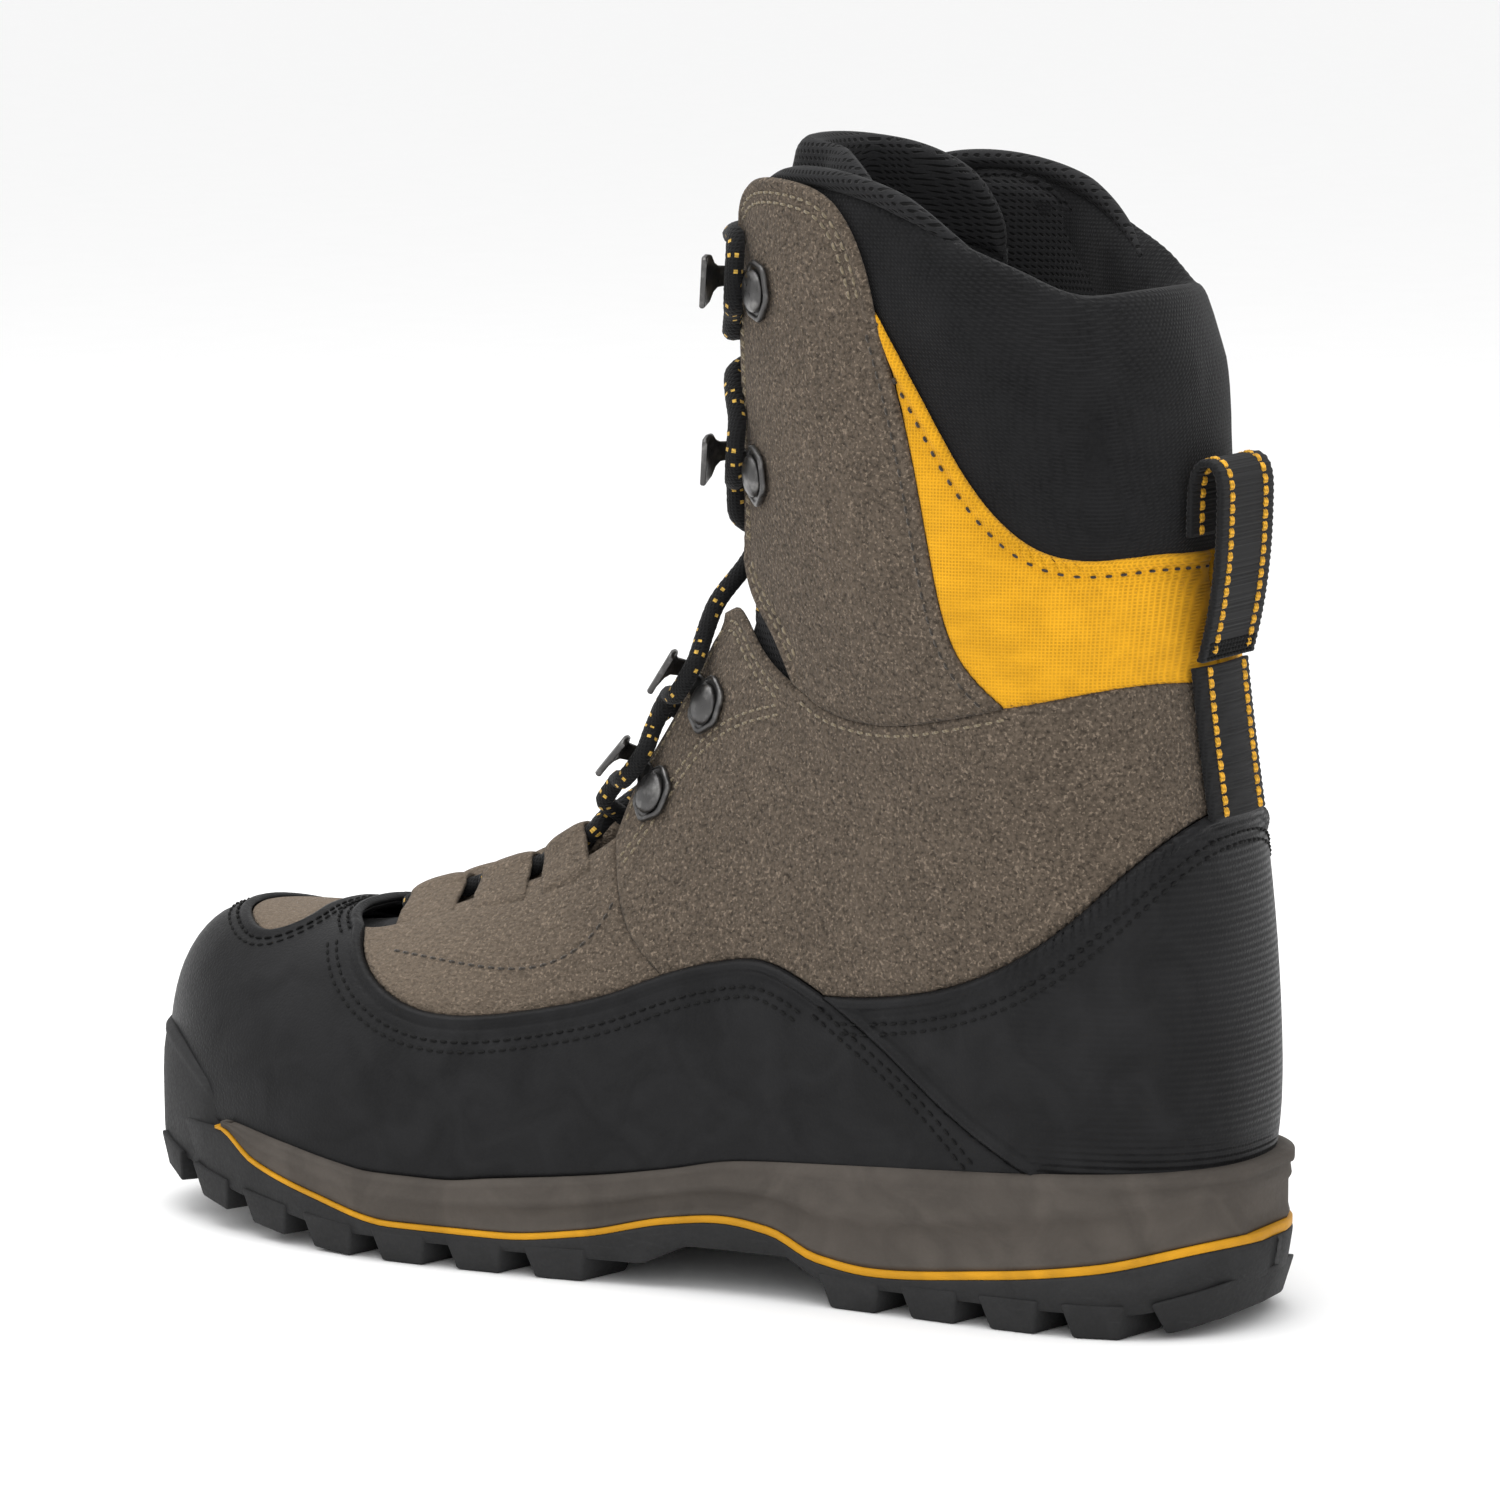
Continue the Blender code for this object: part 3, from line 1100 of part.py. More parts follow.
def make_back_webbing(mats, boot):
    strip_path = [(back_line(z, 1.0 + WEBBING_THICKNESS / 2), z) for z in np.linspace(117.5, 149.0, 6)]
    strap("heel_strip", strip_path, WEBBING_THICKNESS, WEBBING_WIDTH, mats["webbing"], boot)
    foot = back_line(150.5, 1.6)
    inner_foot = back_line(178.0, 1.6)
    loop_path = [
        (foot + 0.4, 150.2), (foot + 2.0, 157), (foot + 3.6, 166), (foot + 4.6, 176), (foot + 4.9, 186),
        (foot + 4.4, 191.5), (foot + 2.6, 194.2), (foot + 0.2, 194.4), (inner_foot + 1.0, 192.0),
        (inner_foot + 0.2, 187.0), (inner_foot, 178.0),
    ]
    loop = strap("pull_loop", loop_path, WEBBING_THICKNESS, WEBBING_WIDTH, mats["webbing"], boot)
    move_origin(loop, *LOOP_AXIS)


# ---------------------------------------------------------------- whole boot

def main():
    boot, cutters = empty_scene()
    mats = make_materials()
    make_sole(mats, boot, cutters)
    make_upper(mats, boot)
    make_inner_layers(mats, boot)
    make_tunnels(mats, boot)
    make_hooks(mats, boot, cutters)
    make_lace(mats, boot)
    make_back_webbing(mats, boot)


main()
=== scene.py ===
"""Looks of the mountaineering boot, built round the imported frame.

Shapes are worked out in millimetres on the same surface as the CAD model, the last, and become
metres when a mesh is made. A place on the last is (u, w): u counts the sections from the toe tip (0)
over the instep to the top of the shaft (14), and w runs round a section from the front ridge (0) over
the medial side to the sole or the back (1). The lateral side has negative w.
"""
import math

import bmesh
import bpy
import numpy as np
from mathutils import Matrix, Vector
from mathutils.geometry import delaunay_2d_cdt
from mathutils.kdtree import KDTree


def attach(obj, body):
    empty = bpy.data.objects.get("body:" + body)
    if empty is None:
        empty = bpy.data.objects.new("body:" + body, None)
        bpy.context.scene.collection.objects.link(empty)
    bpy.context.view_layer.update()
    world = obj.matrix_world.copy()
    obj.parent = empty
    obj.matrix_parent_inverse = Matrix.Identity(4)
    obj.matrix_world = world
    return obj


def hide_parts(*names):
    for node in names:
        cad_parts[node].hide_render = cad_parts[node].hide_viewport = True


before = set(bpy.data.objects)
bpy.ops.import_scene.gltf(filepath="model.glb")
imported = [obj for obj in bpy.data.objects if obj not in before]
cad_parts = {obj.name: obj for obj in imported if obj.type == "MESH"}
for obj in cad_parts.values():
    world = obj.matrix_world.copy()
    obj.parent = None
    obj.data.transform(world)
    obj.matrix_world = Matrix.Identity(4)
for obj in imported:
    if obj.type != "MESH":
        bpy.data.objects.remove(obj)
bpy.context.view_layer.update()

MM = 0.001
ORIGIN = np.array((1.25, 4.61, 0.0))
SIDES = (("medial", 1), ("lateral", -1))

# The last: front y z, back y z, medial and lateral half width, centre x, how far back the widest
# place is, and the roundness of the front and back halves
SECTIONS = (
    (-148.5, 45, -148.5, 35, 0.5, 0.5, 8, 0.50, 2.2, 2.4),
    (-147, 57, -147.5, 20, 10, 10, 8, 0.55, 2.2, 2.6),
    (-142, 66, -142, 11, 18, 18, 7, 0.62, 2.3, 2.8),
    (-126, 74, -122, 5, 33, 33, 5, 0.70, 2.4, 3.0),
    (-100, 75, -90, 3, 44, 46, 3, 0.74, 2.3, 3.2),
    (-74, 82, -50, 3, 47, 52, 1, 0.76, 2.1, 3.2),
    (-50, 91, -5, 3, 43, 48, 0, 0.76, 2.0, 3.0),
    (-32, 104, 45, 3, 38, 42, 0, 0.72, 1.9, 2.8),
    (-19, 123, 100, 3, 36, 38, 0, 0.68, 1.9, 2.6),
    (-7, 143, 133, 24, 37, 38, 0, 0.64, 1.9, 2.4),
    (5, 162, 138, 62, 38, 39, 0, 0.60, 2.0, 2.3),
    (9, 182, 134, 100, 41, 42, 0, 0.56, 2.0, 2.3),
    (10, 202, 128, 140, 44, 45, 0, 0.53, 2.0, 2.2),
    (10, 222, 124, 180, 45, 46, 0, 0.50, 2.0, 2.1),
    (10, 242, 121, 215, 46, 47, 0, 0.50, 2.0, 2.1),
    (11, 265, 115, 255, 46, 47, 0, 0.50, 2.0, 2.1),
)
SECTION_PLACES = (0, 0.5, 1, 2, 3, 4, 5, 6, 7, 8, 9, 10, 11, 12, 13, 14)
TOP = SECTION_PLACES[-1]
U_PER_SECTION = 20
W_CELLS = 160

SOLE_PLAN = (
    (7, -152.8), (23, -148.8), (34.2, -138), (43.4, -120), (49, -100), (52, -75), (51, -50), (46, -12),
    (41, 20), (39, 55), (38.5, 88), (36, 112), (29, 128), (16, 139.5), (0, 143.6), (-16, 139.5),
    (-29.5, 128), (-37.5, 110), (-40.5, 85), (-42, 55), (-46.5, 15), (-52.5, -20), (-54.5, -50),
    (-51, -78), (-42, -107), (-30, -128), (-14, -145),
)
GROUND_LINE = ((-153, 13), (-136, 9.4), (-117, 5.6), (-94, 2.2), (-75, 0), (120, 0), (133, 2.2), (144, 6))
ACCENT_LINE = (
    (-153, 25.5), (-116, 25), (-104, 18.5), (-84, 13), (-62, 8.6), (-34, 8.6), (-12, 11), (8, 15.5),
    (22, 17), (34, 15.5), (46, 10.5), (60, 8.8), (90, 11.5), (115, 15), (144, 20.5),
)
MIDSOLE_LINE = (
    (-153, 27), (-116, 27), (-95, 24.5), (-80, 22), (-68, 20.5), (-50, 20.5), (-36, 22), (-10, 25),
    (8, 28), (25, 31.5), (55, 33.5), (90, 35.5), (115, 37), (144, 38),
)
LUG_DEPTH = 5.5
BUMPER_END = -114.5
ARCH_HEIGHT = 10.5
FEATHER_GAP = -1.3                      # the upper dips into the midsole

# Seam lines of the medial side, toe to heel; the lateral side mirrors them
RAND_EDGE = (
    (3.40, 0.144), (3.70, 0.263), (4.20, 0.338), (5.05, 0.352), (5.75, 0.350), (6.20, 0.344),
    (6.70, 0.354), (7.00, 0.375), (7.25, 0.435), (7.30, 0.456),
)
RAND_OVERLAP = ((7.30, 0.456), (7.42, 0.54), (7.48, 0.63), (7.46, 0.705))
HEEL_EDGE = (
    (7.30, 0.456), (7.55, 0.487), (7.85, 0.525), (8.45, 0.606), (8.85, 0.662), (9.35, 0.731),
    (9.80, 0.794), (10.20, 0.869), (10.40, 0.94), (10.44, 1.0),
)
THROAT_FRONT = ((3.40, 0.144), (3.20, 0.08), (3.16, 0.0))
TOE_WINDOW = (
    (1.84, 0.0), (1.95, 0.075), (2.15, 0.131), (2.45, 0.165), (2.68, 0.135), (2.74, 0.06), (2.74, 0.0),
)
QUARTER_SEAM = ((6.20, 0.344), (6.08, 0.27), (6.12, 0.19), (6.24, 0.115))
EYELET_EDGE = ((3.40, 0.144), (3.60, 0.150), (4.4, 0.118), (5.3, 0.108), (6.24, 0.115))
INSTEP_EDGE = ((6.24, 0.115), (6.6, 0.072), (7.3, 0.060), (8.2, 0.060), (8.72, 0.058))
FLEX_NOTCH_LOW = ((8.72, 0.058), (8.96, 0.10), (8.95, 0.17), (9.03, 0.25))
FLEX_NOTCH_HIGH = ((9.05, 0.25), (9.24, 0.20), (9.32, 0.14), (9.50, 0.10))
CUFF_SEAM = ((9.05, 0.25), (9.12, 0.30), (9.30, 0.362), (9.65, 0.45), (10.15, 0.562), (10.50, 0.648))
CUFF_SEAM_BACK = ((10.50, 0.648), (10.80, 0.74), (11.00, 0.82), (11.10, 0.89), (11.12, 1.0))
CUFF_FRONT = ((9.50, 0.10), (10.6, 0.108), (11.8, 0.132), (12.8, 0.142), (13.3, 0.150))
CUFF_TOP = (
    (13.3, 0.150), (13.55, 0.20), (13.72, 0.28), (13.76, 0.36), (13.65, 0.44), (13.3, 0.48),
    (12.95, 0.494),
)
YELLOW_FRONT = ((12.95, 0.494), (12.1, 0.531), (11.15, 0.556), (10.65, 0.582), (10.50, 0.648))
YELLOW_TOP = (
    (12.95, 0.494), (12.3, 0.569), (11.85, 0.632), (11.65, 0.70), (11.68, 0.79), (11.80, 0.88),
    (11.84, 1.0),
)
RIM = (
    (13.62, 0.26), (13.9, 0.36), (13.93, 0.46), (13.85, 0.55), (13.64, 0.65), (13.50, 0.72),
    (13.45, 0.79), (13.52, 0.87), (13.56, 1.0),
)
COLLAR_FRONT = ((12.73, 0.494), (13.05, 0.47), (13.42, 0.42), (13.50, 0.34), (13.36, 0.22))
COLLAR_RIM = (
    (13.36, 0.22), (13.60, 0.27), (13.76, 0.36), (13.78, 0.46), (13.70, 0.55), (13.58, 0.63),
    (13.48, 0.72), (13.40, 0.79), (13.43, 0.87), (13.47, 1.0),
)
BINDING_LINE = (
    (13.34, 0.205), (13.62, 0.262), (13.80, 0.36), (13.81, 0.46), (13.72, 0.55), (13.56, 0.62),
    (13.42, 0.68),
)
LINING_THROAT = (
    (3.32, 0.0), (3.6, 0.112), (5.0, 0.110), (7.0, 0.098), (9.0, 0.125), (10.6, 0.19), (13.1, 0.205),
)
GUSSET_EDGE = (
    (4.3, 0.125), (6.0, 0.12), (7.6, 0.115), (8.8, 0.12), (9.6, 0.15), (9.9, 0.23), (9.2, 0.29),
    (8.0, 0.24), (6.0, 0.22), (4.6, 0.19), (4.3, 0.125),
)
TONGUE_EDGE = (
    (3.75, 0.0), (3.9, 0.10), (5.5, 0.14), (7.5, 0.155), (9.5, 0.21), (11, 0.31), (12.2, 0.41),
    (13.2, 0.43),
)
TONGUE_TIP_TOP = (
    (13.06, 0.425), (13.36, 0.43), (13.62, 0.405), (13.83, 0.33), (13.95, 0.20), (14.0, 0.0),
)
TONGUE_SPLIT = 13.2
TONGUE_OVERLAP = 0.14                   # how far the free top reaches down over the tongue

# Stitch rows, and the rows of points beside an edge that shape it and its stitch grooves (mm)
STITCH_ROWS = (3.2, 5.4)
PANEL_ROWS = (0.5, 1.1)
SEWN_ROWS = (0.5, 1.1, 1.8, 2.6, 3.2, 3.9, 4.7, 5.4, 6.2)
PAD_ROWS = (0.35, 1.0, 2.0, 3.3)
PANEL_GROWTH = 0.15                     # panels grow a little, so that neighbours meet
ARC_STITCH = ((8.70, 0.231), (8.25, 0.175), (7.70, 0.138), (7.10, 0.131), (6.65, 0.142), (6.24, 0.160))
WAVE_STITCH = ((3.85, 0.219), (4.60, 0.263), (5.20, 0.281), (5.70, 0.256), (6.05, 0.212))

# Lacing, as in the CAD model
HOOK_PLACES = ((6.90, 0.105), (8.00, 0.105), (10.75, 0.185), (12.70, 0.245))
TUNNEL_SPANS = ((3.78, 4.28), (4.55, 5.05), (5.32, 5.82))
TUNNEL_W = 0.064
TUNNEL_DEPTH = -0.4
PLATE_WIDE = 5.9                        # half the hook plate across, and up the boot
PLATE_LONG = 6.5
HOOK_SETBACK = 2.4                      # from a hook's place back to the middle of its plate
LACE_RADIUS = 2.15
LACE_HIGH = -1.6
LACE_LOW = -6.2
LACE_ON_SUEDE = 2.85
LACE_LIPS = (0.066, 0.066, 0.114, 0.148)
LACE_SMOOTHING = 30

WEBBING_WIDTH = 26.0
WEBBING_THICKNESS = 1.6
CLEAR = 1e-6
FLAT_TOLERANCE = 1e-9
U_SPAN = 22.0                           # about how many millimetres a step of u covers
W_SPAN = 150.0                          # and a step of w


# ---------------------------------------------------------------- curves and the last

def natural_spline(knots, values):
    """The natural cubic spline through values at the knots, as a function."""
    knots = np.asarray(knots, float)
    values = np.asarray(values, float).reshape(len(knots), -1)
    steps = np.diff(knots)
    system = np.eye(len(knots))
    right = np.zeros_like(values)
    slopes = np.diff(values, axis=0) / steps[:, None]
    for i in range(1, len(knots) - 1):
        system[i, i - 1:i + 2] = steps[i - 1], 2 * (steps[i - 1] + steps[i]), steps[i]
        right[i] = 6 * (slopes[i] - slopes[i - 1])
    bend = np.linalg.solve(system, right)

    def evaluate(places):
        places = np.atleast_1d(np.asarray(places, float))
        i = np.clip(np.searchsorted(knots, places, side="right") - 1, 0, len(knots) - 2)
        h = steps[i][:, None]
        a = (knots[i + 1] - places)[:, None]
        b = (places - knots[i])[:, None]
        cubic = (bend[i] * a ** 3 + bend[i + 1] * b ** 3) / (6 * h)
        near = values[i] / h - bend[i] * h / 6
        far = values[i + 1] / h - bend[i + 1] * h / 6
        return cubic + near * a + far * b

    return evaluate


def along(line):
    """Value at a place from a list of (place, value): a smooth curve that never swings past a point."""
    knots, values = np.array(line, float).T
    steps = np.diff(knots)
    slopes = np.diff(values) / steps
    tangents = np.zeros(len(knots))
    for i in range(1, len(knots) - 1):
        if slopes[i - 1] * slopes[i] > 0:
            tangents[i] = 2 * slopes[i - 1] * slopes[i] / (slopes[i - 1] + slopes[i])

    def evaluate(y):
        y = np.clip(np.atleast_1d(np.asarray(y, float)), knots[0], knots[-1])
        i = np.clip(np.searchsorted(knots, y, side="right") - 1, 0, len(steps) - 1)
        h = steps[i]
        t = (y - knots[i]) / h
        rise = values[i] * (1 + 2 * t) * (1 - t) ** 2 + values[i + 1] * t * t * (3 - 2 * t)
        return rise + h * (tangents[i] * t * (1 - t) ** 2 - tangents[i + 1] * t * t * (1 - t))

    return evaluate


def lengths_along(points):
    return np.concatenate([[0], np.cumsum(np.linalg.norm(np.diff(points, axis=0), axis=1))])


def directions(points):
    """Unit vectors along a line of points."""
    ahead = np.gradient(points, axis=0)
    return ahead / np.linalg.norm(ahead, axis=1, keepdims=True)


def half_section(row, side):
    """Points from the front ridge to the back of one side of a section, evenly spaced."""
    front_y, front_z, back_y, back_z, medial, lateral, centre, widest, front_power, back_power = row
    angle = np.linspace(0, math.pi, 361)
    power = 2 / np.where(angle < math.pi / 2, front_power, back_power)
    across = max(medial if side > 0 else lateral, 0.001) * np.sin(angle) ** power
    depth = np.sign(np.cos(angle)) * np.abs(np.cos(angle)) ** power
    share = np.where(depth > 0, widest * (1 - depth), widest - depth * (1 - widest))
    points = np.stack([
        centre + side * across,
        front_y + (back_y - front_y) * share,
        front_z + (back_z - front_z) * share,
    ], axis=1)
    walked = lengths_along(points)
    even = np.linspace(0, walked[-1], W_CELLS + 1)
    return np.stack([np.interp(even, walked, points[:, i]) for i in range(3)], axis=1)


def tabulate_last():
    places = np.linspace(0, TOP, TOP * U_PER_SECTION + 1)
    rings = []
    for row in natural_spline(SECTION_PLACES, SECTIONS)(places):
        rings.append(np.concatenate([half_section(row, 1), half_section(row, -1)[-2:0:-1]]))
    points = np.array(rings)
    round_ = np.roll(points, -1, axis=1) - np.roll(points, 1, axis=1)
    normals = np.cross(round_, np.gradient(points, axis=0))
    normals /= np.maximum(np.linalg.norm(normals, axis=2, keepdims=True), CLEAR)
    return points, normals


LAST_POINTS, LAST_NORMALS = tabulate_last()


def on_last(u, w, offset=0.0):
    """Points (mm, before ORIGIN) on the last, `offset` outside it."""
    u = np.clip(np.atleast_1d(np.asarray(u, float)), 0, TOP) * U_PER_SECTION
    w = np.mod(np.atleast_1d(np.asarray(w, float)), 2) * W_CELLS
    i = np.minimum(u.astype(int), LAST_POINTS.shape[0] - 2)
    j = w.astype(int) % (2 * W_CELLS)
    k = (j + 1) % (2 * W_CELLS)
    a = (u - i)[:, None]
    b = (w - np.floor(w))[:, None]
    blend = []
    for table in (LAST_POINTS, LAST_NORMALS):
        near = table[i, j] * (1 - b) + table[i, k] * b
        far = table[i + 1, j] * (1 - b) + table[i + 1, k] * b
        blend.append(near * (1 - a) + far * a)
    normal = blend[1] / np.linalg.norm(blend[1], axis=1, keepdims=True)
    return blend[0] + np.reshape(offset, (-1, 1)) * normal


def last_frames(u, w):
    """Points on the last with outward normals and directions along u and w."""
    step = 0.01
    u = np.atleast_1d(np.asarray(u, float))
    w = np.atleast_1d(np.asarray(w, float))
    points = on_last(u, w)
    normals = on_last(u, w, 1.0) - points
    rise = np.clip(u + step, 0, TOP) - np.clip(u - step, 0, TOP)
    up = (on_last(u + step, w) - on_last(u - step, w)) / rise[:, None]
    round_ = (on_last(u, w + step) - on_last(u, w - step)) / (2 * step)
    return points, normals, up, round_


midsole_top = along(MIDSOLE_LINE)
accent_top = along(ACCENT_LINE)
ground = along(GROUND_LINE)


def feather_line():
    """Where the upper meets the midsole, toe tip to heel; both sides of the last clear it."""
    def above(u, w):
        sides = on_last((u, u), (w, -w))
        return np.min(sides[:, 2] - midsole_top(sides[:, 1])) - FEATHER_GAP

    def cross(function, low, high):
        sign = function(low) > 0
        for _ in range(24):
            middle = (low + high) / 2
            if (function(middle) > 0) == sign:
                low = middle
            else:
                high = middle
        return (low + high) / 2

    toe = [(cross(lambda u: above(u, w), 0.05, 2.6), w) for w in np.linspace(1.0, 0.60, 9)]
    heel = [(cross(lambda u: above(u, w), 7.0, 9.0), w) for w in np.linspace(0.70, 1.0, 12)]
    us = np.linspace(toe[-1][0] + 0.3, heel[0][0] - 0.2, 22)
    return toe + [(u, cross(lambda w: above(u, w), 0.3, 1.0)) for u in us] + heel


FEATHER = feather_line()
FEATHER_TOE = tuple(place for place in FEATHER if place[0] < RAND_OVERLAP[-1][0])
FEATHER_HEEL = tuple(FEATHER[len(FEATHER_TOE):])


def mirrored(edge):
    return tuple((u, -w) for u, w in reversed(edge))


def across_front(edge):
    """A medial edge that ends on the front ridge, carried on to the lateral side."""
    return tuple(edge) + mirrored(edge)[1:]


def across_back(edge):
    """A medial edge that ends on the back line, carried on to the lateral side."""
    return tuple(edge) + tuple((u, 2 - w) for u, w in reversed(edge))[1:]


def across_toe(edge):
    """A medial edge that starts under the toe tip, begun on the lateral side."""
    return tuple((u, 2 - w) for u, w in reversed(edge)) + tuple(edge)[1:]


def other_side(edge):
    return tuple((u, 2 - w) for u, w in edge)


def sided(edge, sign):
    return tuple((u, sign * w) for u, w in edge)


def smooth_edge(edge, step):
    """Evenly spaced places along a smooth line through the edge's points."""
    edge = np.asarray(edge, float)
    knots = lengths_along(edge * (U_SPAN, W_SPAN))
    fine = natural_spline(knots, edge)(np.linspace(0, knots[-1], 24 * len(edge)))
    walked = lengths_along(on_last(fine[:, 0], fine[:, 1]))
    even = np.linspace(0, walked[-1], max(1, round(walked[-1] / step)) + 1)
    return np.stack([np.interp(even, walked, fine[:, i]) for i in range(2)], axis=1)


def outline(edges, step):
    """A closed outline from edges that follow each other; corners stay sharp."""
    return np.concatenate([smooth_edge(edge, step)[:-1] for edge in edges])


def chart(places):
    """A flat map of the last, with the toe tip in the middle and true to shape nearly everywhere."""
    radius = np.sinh(0.4 * places[:, 0])
    angle = math.pi * places[:, 1]
    return np.stack([radius * np.cos(angle), radius * np.sin(angle)], axis=1)


def inside(points, loop):
    x, y = points[:, 0][:, None], points[:, 1][:, None]
    ax, ay = loop[:, 0], loop[:, 1]
    bx, by = np.roll(ax, -1), np.roll(ay, -1)
    straddles = (ay > y) != (by > y)
    run = np.where(np.abs(by - ay) < 1e-12, 1e-12, by - ay)
    return (straddles & (x < (bx - ax) * (y - ay) / run + ax)).sum(axis=1) % 2 == 1


def shifted(places, distance, closed=False):
    """Places moved sideways along the last by a distance in mm, to the left of their direction."""
    points, normals, up, round_ = last_frames(places[:, 0], places[:, 1])
    if closed:
        ahead = np.roll(points, -1, axis=0) - np.roll(points, 1, axis=0)
    else:
        ahead = np.gradient(points, axis=0)
    left = np.cross(normals, ahead)
    left *= (distance / np.maximum(np.linalg.norm(left, axis=1), CLEAR))[:, None]
    uu = np.sum(up * up, axis=1)
    uw = np.sum(up * round_, axis=1)
    ww = np.sum(round_ * round_, axis=1)
    lu = np.sum(up * left, axis=1)
    lw = np.sum(round_ * left, axis=1)
    det = uu * ww - uw * uw
    return places + np.stack([(lu * ww - lw * uw) / det, (lw * uu - lu * uw) / det], axis=1)


def turn_of(loop, hole):
    """Which way is inwards for a closed outline: 1 to the left, -1 to the right."""
    flat = chart(loop)
    area = np.sum(flat[:, 0] * np.roll(flat[:, 1], -1) - flat[:, 1] * np.roll(flat[:, 0], -1))
    return -1 if (area > 0) != hole else 1


def lattice(step):
    """Places spread evenly over the whole last."""
    spread = []
    u = 0.2
    row = 0
    while u < 14:
        ring = on_last(np.full(49, u), np.linspace(-1, 1, 49))
        count = max(6, 2 * round(lengths_along(ring)[-1] / step / 2))
        spread += [(u, -1 + 2 * (i + 0.5 * (row % 2)) / count) for i in range(count)]
        ahead = on_last(np.full(3, u + 0.1), (0.0, 0.5, -0.5)) - on_last(np.full(3, u), (0.0, 0.5, -0.5))
        u += 0.087 * step / np.linalg.norm(ahead, axis=1).max()
        row += 1
    return np.array(spread)


def tree_of(points):
    tree = KDTree(len(points))
    for i, point in enumerate(points):
        tree.insert(point, i)
    tree.balance()
    return tree


def distances(points, tree):
    return np.array([tree.find(point)[2] for point in points])


# ---------------------------------------------------------------- pieces

def make_mesh(name, points, faces):
    mesh = bpy.data.meshes.new(name)
    mesh.from_pydata(((np.asarray(points, float) + ORIGIN) * MM).tolist(), [], faces)
    mesh.validate()
    mesh.shade_smooth()
    return mesh


def add_piece(name, mesh, material, body="boot", replaces=()):
    mesh.materials.append(material)
    thing = bpy.data.objects.new(name, mesh)
    bpy.context.scene.collection.objects.link(thing)
    if body:
        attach(thing, body)
    if replaces:
        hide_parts(*replaces)
    return thing


def grid_faces(rows, columns, closed=False):
    """Quads of a grid of rows by columns of points; closed joins the last column to the first."""
    faces = []
    for i in range(rows - 1):
        for j in range(columns if closed else columns - 1):
            k = (j + 1) % columns
            faces.append((i * columns + j, i * columns + k, (i + 1) * columns + k, (i + 1) * columns + j))
    return faces


def tube_faces(rings, sides):
    """Faces of a tube of rings, with a cap at each end."""
    faces = grid_faces(rings, sides, closed=True)
    return faces + [tuple(range(sides))[::-1], tuple(range((rings - 1) * sides, rings * sides))]


def turn_outwards(mesh):
    """Make all the faces of a closed mesh face outwards."""
    bm = bmesh.new()
    bm.from_mesh(mesh)
    bmesh.ops.recalc_face_normals(bm, faces=bm.faces)
    bm.to_mesh(mesh)
    bm.free()


LATTICES = {}


def filled(loops, insets, keep, beyond, step):
    """Places and triangles that fill closed loops: rows inset from the rims, then an even spread."""
    flats = [chart(loop) for loop in loops]
    rim_tree = tree_of(np.concatenate([on_last(*loop.T) for loop in loops]))

    def within(flat):
        keeping = inside(flat, flats[0])
        for hole in flats[1:]:
            keeping &= ~inside(flat, hole)
        return keeping

    rows = []
    for loop, is_hole in zip(loops, (False, True)):
        turn = turn_of(loop, is_hole)
        for inset in insets:
            row = shifted(loop, turn * inset, closed=True)
            row = row[within(chart(row))]
            rows.append(row[distances(on_last(*row.T), rim_tree) > keep * inset])
    if step not in LATTICES:
        LATTICES[step] = lattice(step)
    spread = LATTICES[step][within(chart(LATTICES[step]))]
    spread = spread[distances(on_last(*spread.T), rim_tree) > insets[-1] + beyond * step]
    places = np.concatenate([*loops, *rows, spread])
    constraints = []
    for loop in loops:
        start = len(constraints)
        constraints += [(start + i, start + (i + 1) % len(loop)) for i in range(len(loop))]
    flat = chart(places)
    _, _, triangles, original, _, _ = delaunay_2d_cdt(
        [Vector(p) for p in flat], constraints, [], 0, FLAT_TOLERANCE)
    triangles = np.array([[original[i][0] for i in t] for t in triangles if all(original[i] for i in t)])
    triangles = triangles[within(flat[triangles].mean(axis=1))]
    spots = on_last(*places.T)
    return places, triangles, spots, distances(spots, rim_tree)


def skin(name, edges, top, thickness, material, replaces, sign=1, step=2.6, hole=None, seams=(),
         relief=None):
    """A panel of the upper: an outline on the last, filled, with rounded edges and stitch grooves."""
    loops = []
    for group, is_hole in ((edges, False), (hole, True)):
        if group:
            loop = outline([sided(edge, sign) for edge in group], step)
            loops.append(shifted(loop, -turn_of(loop, is_hole) * PANEL_GROWTH, closed=True))
    insets = SEWN_ROWS if seams else PANEL_ROWS
    places, triangles, spots, from_rim = filled(loops, insets, 0.93, 0.55, step)
    offset = np.full(len(places), float(top)) - 0.8 * np.clip(1 - from_rim / 1.2, 0, 1) ** 2
    if seams:
        line = np.concatenate([on_last(*smooth_edge(sided(seam, sign), 0.8).T) for seam in seams])
        from_seam = distances(spots, tree_of(line))
        offset += 0.40 * np.exp(-((from_seam - 1.3) / 0.75) ** 2)
        for groove in STITCH_ROWS:
            offset -= 0.34 * np.exp(-((from_seam - groove) / 0.55) ** 2)
    if relief:
        offset += relief(places, spots)
    points = on_last(*places.T, offset)
    corners = points[triangles]
    facing = np.cross(corners[:, 1] - corners[:, 0], corners[:, 2] - corners[:, 0])
    outward = on_last(*places.T, 1.0) - spots
    if np.sum(facing * outward[triangles[:, 0]]) < 0:
        triangles = triangles[:, ::-1]
    mesh = make_mesh(name, points, triangles.tolist())
    thing = add_piece(name, mesh, material, replaces=replaces)
    thicken(thing, thickness, -1.0)


def thicken(thing, thickness, offset):
    step = thing.modifiers.new("thickness", "SOLIDIFY")
    step.thickness = thickness * MM
    step.offset = offset


# ---------------------------------------------------------------- stitches

